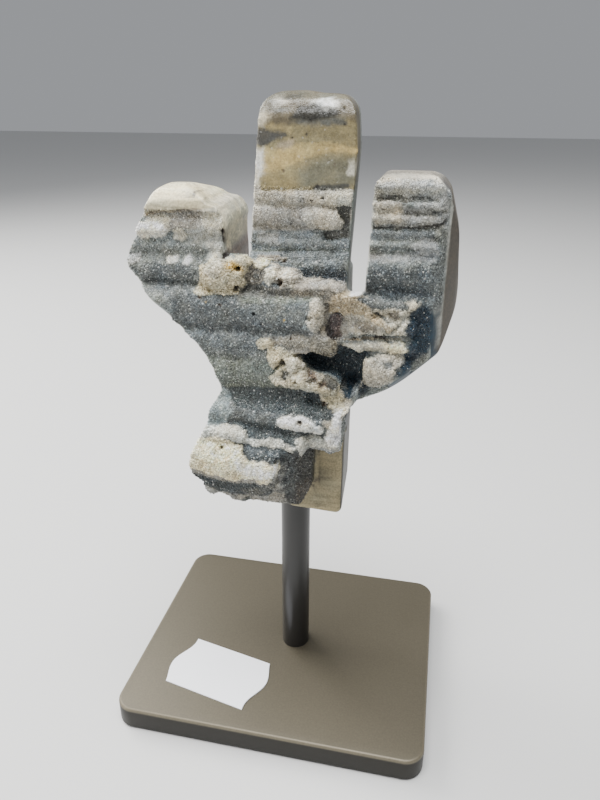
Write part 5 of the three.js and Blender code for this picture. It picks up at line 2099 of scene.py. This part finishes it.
@dataclass(frozen=True)
class DruzyQuartz:
    """Sugary quartz crust with polished faces where the stone was cut."""

    crystal: float = 0.34
    spark: float = 0.5
    polish_roughness: float = 0.16
    bending: float = 1.54

    POINT = 2.0

    def material(self) -> bpy.types.Material:
        """Builds the material, which reads the attributes tint, crust, coarse and gloss.

        Returns:
            The material. A coarse of POINT marks the separate crystals, which get no grain.
        """
        s = Shader("druzy_quartz")
        place = s.place()
        tint = s.attribute("tint", "Color")
        crust = s.attribute("crust")
        coarse = s.attribute("coarse")
        gloss = s.attribute("gloss")
        body = 1 - coarse.ramp(1.2, 1.8)
        cells = s.node("TexVoronoi", {"feature": "F1"}, Vector=place, Scale=1 / (self.crystal * MM))
        distance = s.out(cells, "Distance")
        streaks = s.node("Mapping", None, Vector=place, Scale=(0.12, 0.5, 1.0))
        veins = s.noise(s.out(streaks), 1.1, 5.0, 0.8)
        parts = s.node("SeparateColor", None, Color=s.out(cells, "Color"))
        chance = s.out(parts, 0)
        # Partly real, partly painted light: each cell's random brightness is partly the grains' own tone and
        # partly painted light on their facets, and the darker cell borders are painted shade between the
        # grains.
        crust_shade = 0.78 + 0.44 * chance - 0.30 * distance.ramp(0.3, 0.8) * body
        polish_shade = 1.2 * veins + 1.2 * s.noise(place, 0.45) - 0.2
        shade = crust_shade * crust + polish_shade * (1 - crust)
        # Painted highlights: a few cells are painted near white in the base colour, standing for glints.
        sparkle = chance.ramp(0.955, 0.975) * crust.ramp(0.5, 0.9) * body
        half_crust = crust.ramp(0.3, 0.4) * (1 - crust.ramp(0.5, 0.6))
        sparkle = sparkle + chance.ramp(0.975, 0.99) * half_crust * body * 0.3
        colour = s.mix(sparkle * 0.55, s.scaled(tint, shade), opaque(225, 225, 220))
        smooth = self.polish_roughness + 0.25 * (1 - gloss) + 0.15 * veins
        centred = s.vector("SUBTRACT", s.out(cells, "Color"), (0.5, 0.5, 0.5))
        bumpy = s.bump(0.6, 0.2, (1 - distance) * crust * body)
        leaning = s.vector("ADD", bumpy, s.scaled(centred, crust * body * self.spark))
        normal = s.out(s.node("VectorMath", {"operation": "NORMALIZE"}, in0=leaning))
        druse = s.node(
            "BsdfPrincipled",
            None,
            Base_Color=colour,
            Roughness=0.14 + 0.45 * s.out(parts, 1),
            Normal=normal,
            IOR=self.bending,
        )
        polish = s.node(
            "BsdfPrincipled",
            None,
            Base_Color=colour,
            Roughness=smooth,
            Normal=s.bump(0.5, 0.35, s.noise(place, 1.6) * gloss, Normal=normal),
            IOR=self.bending,
            Specular_IOR_Level=0.25,
        )
        return s.finish(s.node("MixShader", None, in0=crust, in1=s.out(polish), in2=s.out(druse)))


@dataclass(frozen=True)
class Lacquer:
    """Satin metallic lacquer with fine flecks, darker on its sides as painted shade and brighter along its
    top edge as a painted highlight.
    """

    name: str
    colour: Numbers
    roughness: float
    metallic: float
    fleck: float = 0.35
    contrast: float = 0.16
    # side, side_top and side_blend set the painted shade on the sides.
    side: float = 1.0
    side_top: float = 0.0
    side_blend: float = 0.7
    # edge and edge_ends set the painted highlight along the top edge.
    edge: float = 0.0
    edge_ends: Numbers = (6.3, 6.45)

    def material(self) -> bpy.types.Material:
        """Builds the material, whose sides below side_top are darker by the factor side, a painted shade; a
        band along the top edge, ending at edge_ends, is brighter by the factor edge, a painted highlight.

        Returns:
            The material.
        """
        s = Shader(self.name)
        place = s.place()
        height = s.out(s.node("SeparateXYZ", None, Vector=place), 2)
        upper = height.ramp((self.side_top - self.side_blend) * MM, self.side_top * MM)
        flecks = s.noise(place, self.fleck)
        cloud = s.noise(place, 22, 3.0)
        shade = 1 - self.contrast / 2 + self.contrast * flecks + 0.10 * cloud
        # Painted highlight: a band along the top edge, ending at edge_ends, is brighter by the factor edge.
        start, end = self.edge_ends
        painted_edge_highlight = 1 + self.edge * upper * (1 - height.ramp(start * MM, end * MM))
        # Painted shade: below side_top the colour is darker by the factor side.
        colour = s.scaled(s.constant(self.colour), shade * painted_edge_highlight * (self.side + (1 - self.side) * upper))
        shader = s.node(
            "BsdfPrincipled",
            None,
            Base_Color=colour,
            Roughness=self.roughness + 0.08 * cloud,
            Metallic=self.metallic,
            Normal=s.bump(0.12, 0.05, flecks),
        )
        return s.finish(shader)


@dataclass(frozen=True)
class LabelPaper:
    """Smooth white self-adhesive paper."""

    colour: Numbers = opaque(249, 250, 254)
    roughness: float = 0.62
    fibre: float = 0.5

    def material(self) -> bpy.types.Material:
        """Builds the material.

        Returns:
            The material.
        """
        s = Shader("label_paper")
        fibre = s.noise(s.place(), self.fibre, 4.0)
        shader = s.node(
            "BsdfPrincipled",
            None,
            Base_Color=s.scaled(s.constant(self.colour), 0.97 + 0.05 * fibre),
            Roughness=self.roughness,
            Normal=s.bump(0.08, 0.03, fibre),
        )
        return s.finish(shader)


def plain_material(name: str, colour: Numbers, roughness: float) -> bpy.types.Material:
    """Makes the stage's plain material."""
    s = Shader(name)
    return s.finish(s.node("BsdfPrincipled", None, Base_Color=colour, Roughness=roughness))


# ---- The stand -------------------------------------------------------------------------------------


@dataclass
class Stand:
    """The steel base plate and its upright rod."""

    width: float = 77.0
    depth: float = 63.5
    thickness: float = 6.4
    corner_radius: float = 4.8
    soft_edge: float = 0.7
    rod_radius: float = 3.65
    rod_x: float = 1.5
    rod_y: float = 0.6
    rod_top: float = 84.0
    rod_chamfer: float = 0.4
    near: float = 0.01
    smooth_angle: float = math.radians(35)

    def plate(self) -> bpy.types.Object:
        """Makes the plate: a block with rounded corners and softened rims.

        Returns:
            The object.
        """
        bpy.ops.mesh.primitive_cube_add(size=MM, location=(0, 0, self.thickness / 2 * MM))
        piece = bpy.context.object
        piece.scale = (self.width, self.depth, self.thickness)
        settle()
        upright = self.thickness * MM * 0.5
        self.bevel(piece, lambda a, b: abs(a.z - b.z) > upright, self.corner_radius, 14)
        low, high = self.near * MM, (self.thickness - self.near) * MM
        self.bevel(piece, lambda a, b: max(a.z, b.z) < low or min(a.z, b.z) > high, self.soft_edge, 5)
        bpy.ops.object.shade_smooth_by_angle(angle=self.smooth_angle)
        piece.name = "plate"
        return piece

    def bevel(
        self, piece: bpy.types.Object, chosen: Callable[[Vector, Vector], bool], radius: float, segments: int
    ) -> None:
        """Rounds the edges of a piece that a test picks by their two end places.

        Args:
            piece: the object to change.
            chosen: a test of an edge's two places.
            radius: the rounding, in millimetres.
            segments: the number of steps in it.
        """
        activate(piece)
        bpy.ops.object.mode_set(mode="EDIT")
        bpy.ops.mesh.select_mode(type="EDGE")
        work = bmesh.from_edit_mesh(piece.data)
        for edge in work.edges:
            edge.select = chosen(edge.verts[0].co, edge.verts[1].co)
        bmesh.update_edit_mesh(piece.data)
        bpy.ops.mesh.bevel(offset=radius * MM, segments=segments, affect="EDGES")
        bpy.ops.object.mode_set(mode="OBJECT")

    def rod(self) -> bpy.types.Object:
        """Makes the rod, with a small chamfer at its hidden top.

        Returns:
            The object.
        """
        piece = cylinder(72, self.rod_radius, self.rod_x, self.rod_y, (self.thickness, self.rod_top))
        top = (self.rod_top - self.near) * MM
        self.bevel(piece, lambda a, b: min(a.z, b.z) > top, self.rod_chamfer, 2)
        bpy.ops.object.shade_smooth_by_angle(angle=self.smooth_angle)
        piece.name = "upright"
        return piece

    def build(self) -> list[bpy.types.Object]:
        """Builds and dresses the plate and the rod.

        Returns:
            The two objects.
        """
        bronze = Lacquer(
            "bronze_lacquer",
            opaque(74, 69, 57),
            0.44,
            0.4,
            fleck=0.45,
            contrast=0.44,
            side=0.17,
            side_top=6.0,
            edge=1.1,
        )
        plate = self.plate()
        plate.data.materials.append(bronze.material())
        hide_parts("base_plate")
        rod = self.rod()
        rod.data.materials.append(Lacquer("rod_lacquer", opaque(32, 31, 30), 0.3, 0.0).material())
        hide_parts("rod")
        return [plate, rod]


@dataclass
class PriceLabel:
    """A small blank paper label with wavy short ends."""

    length: float = 22.4
    width: float = 16.0
    wave: float = 1.8
    thickness: float = 0.25
    soft_edge: float = 0.08
    x: float = -15.8
    y: float = -15.9
    floor: float = 6.42
    turn: float = math.radians(-11.7)

    def build(self) -> bpy.types.Object:
        """Builds and dresses the label.

        Returns:
            The object.
        """
        half, side, steps = self.length / 2, self.width / 2, 24
        heights = np.linspace(-side, side, steps + 1)
        bulge = self.wave * np.sin(math.pi * (heights + side) / self.width) ** 2
        sway = 0.35 * self.wave * np.sin(2 * math.pi * heights / self.width)
        right = np.stack([half + bulge + sway, heights], axis=1)
        outline = np.concatenate([right, -right])
        cos, sin = math.cos(self.turn), math.sin(self.turn)
        turned = outline @ np.array([[cos, sin], [-sin, cos]])
        levels = ((0.0, 0.0), (0.0, self.thickness * 0.7), (self.soft_edge, self.thickness))
        rings = []
        for drawn, z in levels:
            rings.append(np.insert(inset(turned, drawn) + (self.x, self.y), 2, self.floor + z, axis=1))
        piece = shell("paper_label", rings)
        piece.data.materials.append(LabelPaper().material())
        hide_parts("price_label")
        return piece


# ---- The studio ------------------------------------------------------------------------------------


@dataclass
class Studio:
    """The camera, the lights and the pale floor."""

    sensor: float = 36.0
    nearest: float = 0.01
    floor_side: float = 6.0
    floor_colour: Numbers = (0.62, 0.62, 0.61, 1)
    room_colour: Numbers = (0.92, 0.95, 1.0, 1)
    room_strength: float = 0.36
    aim: Numbers = (0, 0, 0.09)
    light_side: float = 0.5

    def camera(self) -> None:
        """Places the camera of the main view and makes it the scene's."""
        data = bpy.data.cameras.new("camera")
        data.sensor_width = self.sensor
        data.lens = VIEW.focal / VIEW.height * self.sensor
        data.clip_start = self.nearest
        camera = bpy.data.objects.new("camera", data)
        camera.location = [v * MM for v in VIEW.place]
        camera.rotation_euler = Euler((math.pi / 2 - VIEW.pitch, -VIEW.roll, -VIEW.yaw), "XYZ")
        bpy.context.scene.collection.objects.link(camera)
        bpy.context.scene.camera = camera

    def area(self, name: str, place: Numbers, power: float, warmth: Numbers) -> None:
        """Adds one soft square light that looks at the stone.

        Args:
            name: the light's name.
            place: where it hangs, in metres.
            power: its power, in watts.
            warmth: its colour.
        """
        data = bpy.data.lights.new(name, "AREA")
        data.size = self.light_side
        data.energy = power
        data.color = warmth
        light = bpy.data.objects.new(name, data)
        light.location = place
        light.rotation_euler = (Vector(self.aim) - Vector(place)).to_track_quat("-Z", "Y").to_euler()
        bpy.context.scene.collection.objects.link(light)

    def floor(self) -> None:
        """Lays the pale floor."""
        bpy.ops.mesh.primitive_plane_add(size=self.floor_side, location=(0, 0, 0))
        ground = bpy.context.object
        ground.name = "floor"
        ground.data.materials.append(plain_material("pale_floor", self.floor_colour, 0.7))

    def world(self) -> None:
        """Fills the room with even pale light."""
        world = bpy.data.worlds.new("room")
        world.use_nodes = True
        background = world.node_tree.nodes["Background"]
        background.inputs["Color"].default_value = self.room_colour
        background.inputs["Strength"].default_value = self.room_strength
        bpy.context.scene.world = world

    def build(self) -> None:
        """Builds the whole studio."""
        self.camera()
        self.floor()
        self.world()
        self.area("window", (-0.5, 0.2, 0.55), 9.0, (1.0, 0.99, 0.97))
        self.area("ceiling", (0.0, -0.12, 0.8), 11.5, (1.0, 1.0, 1.0))
        self.area("room", (-0.6, -0.45, 0.3), 3.0, (1.0, 0.98, 0.96))


# ---- The whole object ------------------------------------------------------------------------------


def report(piece: bpy.types.Object) -> None:
    """Logs a finished piece and its triangle count.

    Args:
        piece: the object.
    """
    piece.data.calc_loop_triangles()
    LOG.info("%s: %d triangles", piece.name, len(piece.data.loop_triangles))


def main() -> None:
    """Builds every piece, dresses it and rides it on the one body."""
    logging.basicConfig(level=logging.INFO, format="%(message)s")
    bpy.ops.object.select_all(action="DESELECT")
    Studio().build()
    stone = CactusStone().build()
    crystals = DruzeCrystals().build(stone)
    quartz = DruzyQuartz().material()
    for piece in (stone, *crystals):
        piece.data.materials.clear()
        piece.data.materials.append(quartz)
        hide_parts("cactus_stone")
    pieces = [stone, *crystals, *Stand().build(), PriceLabel().build()]
    for piece in pieces:
        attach(piece, ROOT)
        report(piece)


if __name__ == "__main__":
    main()
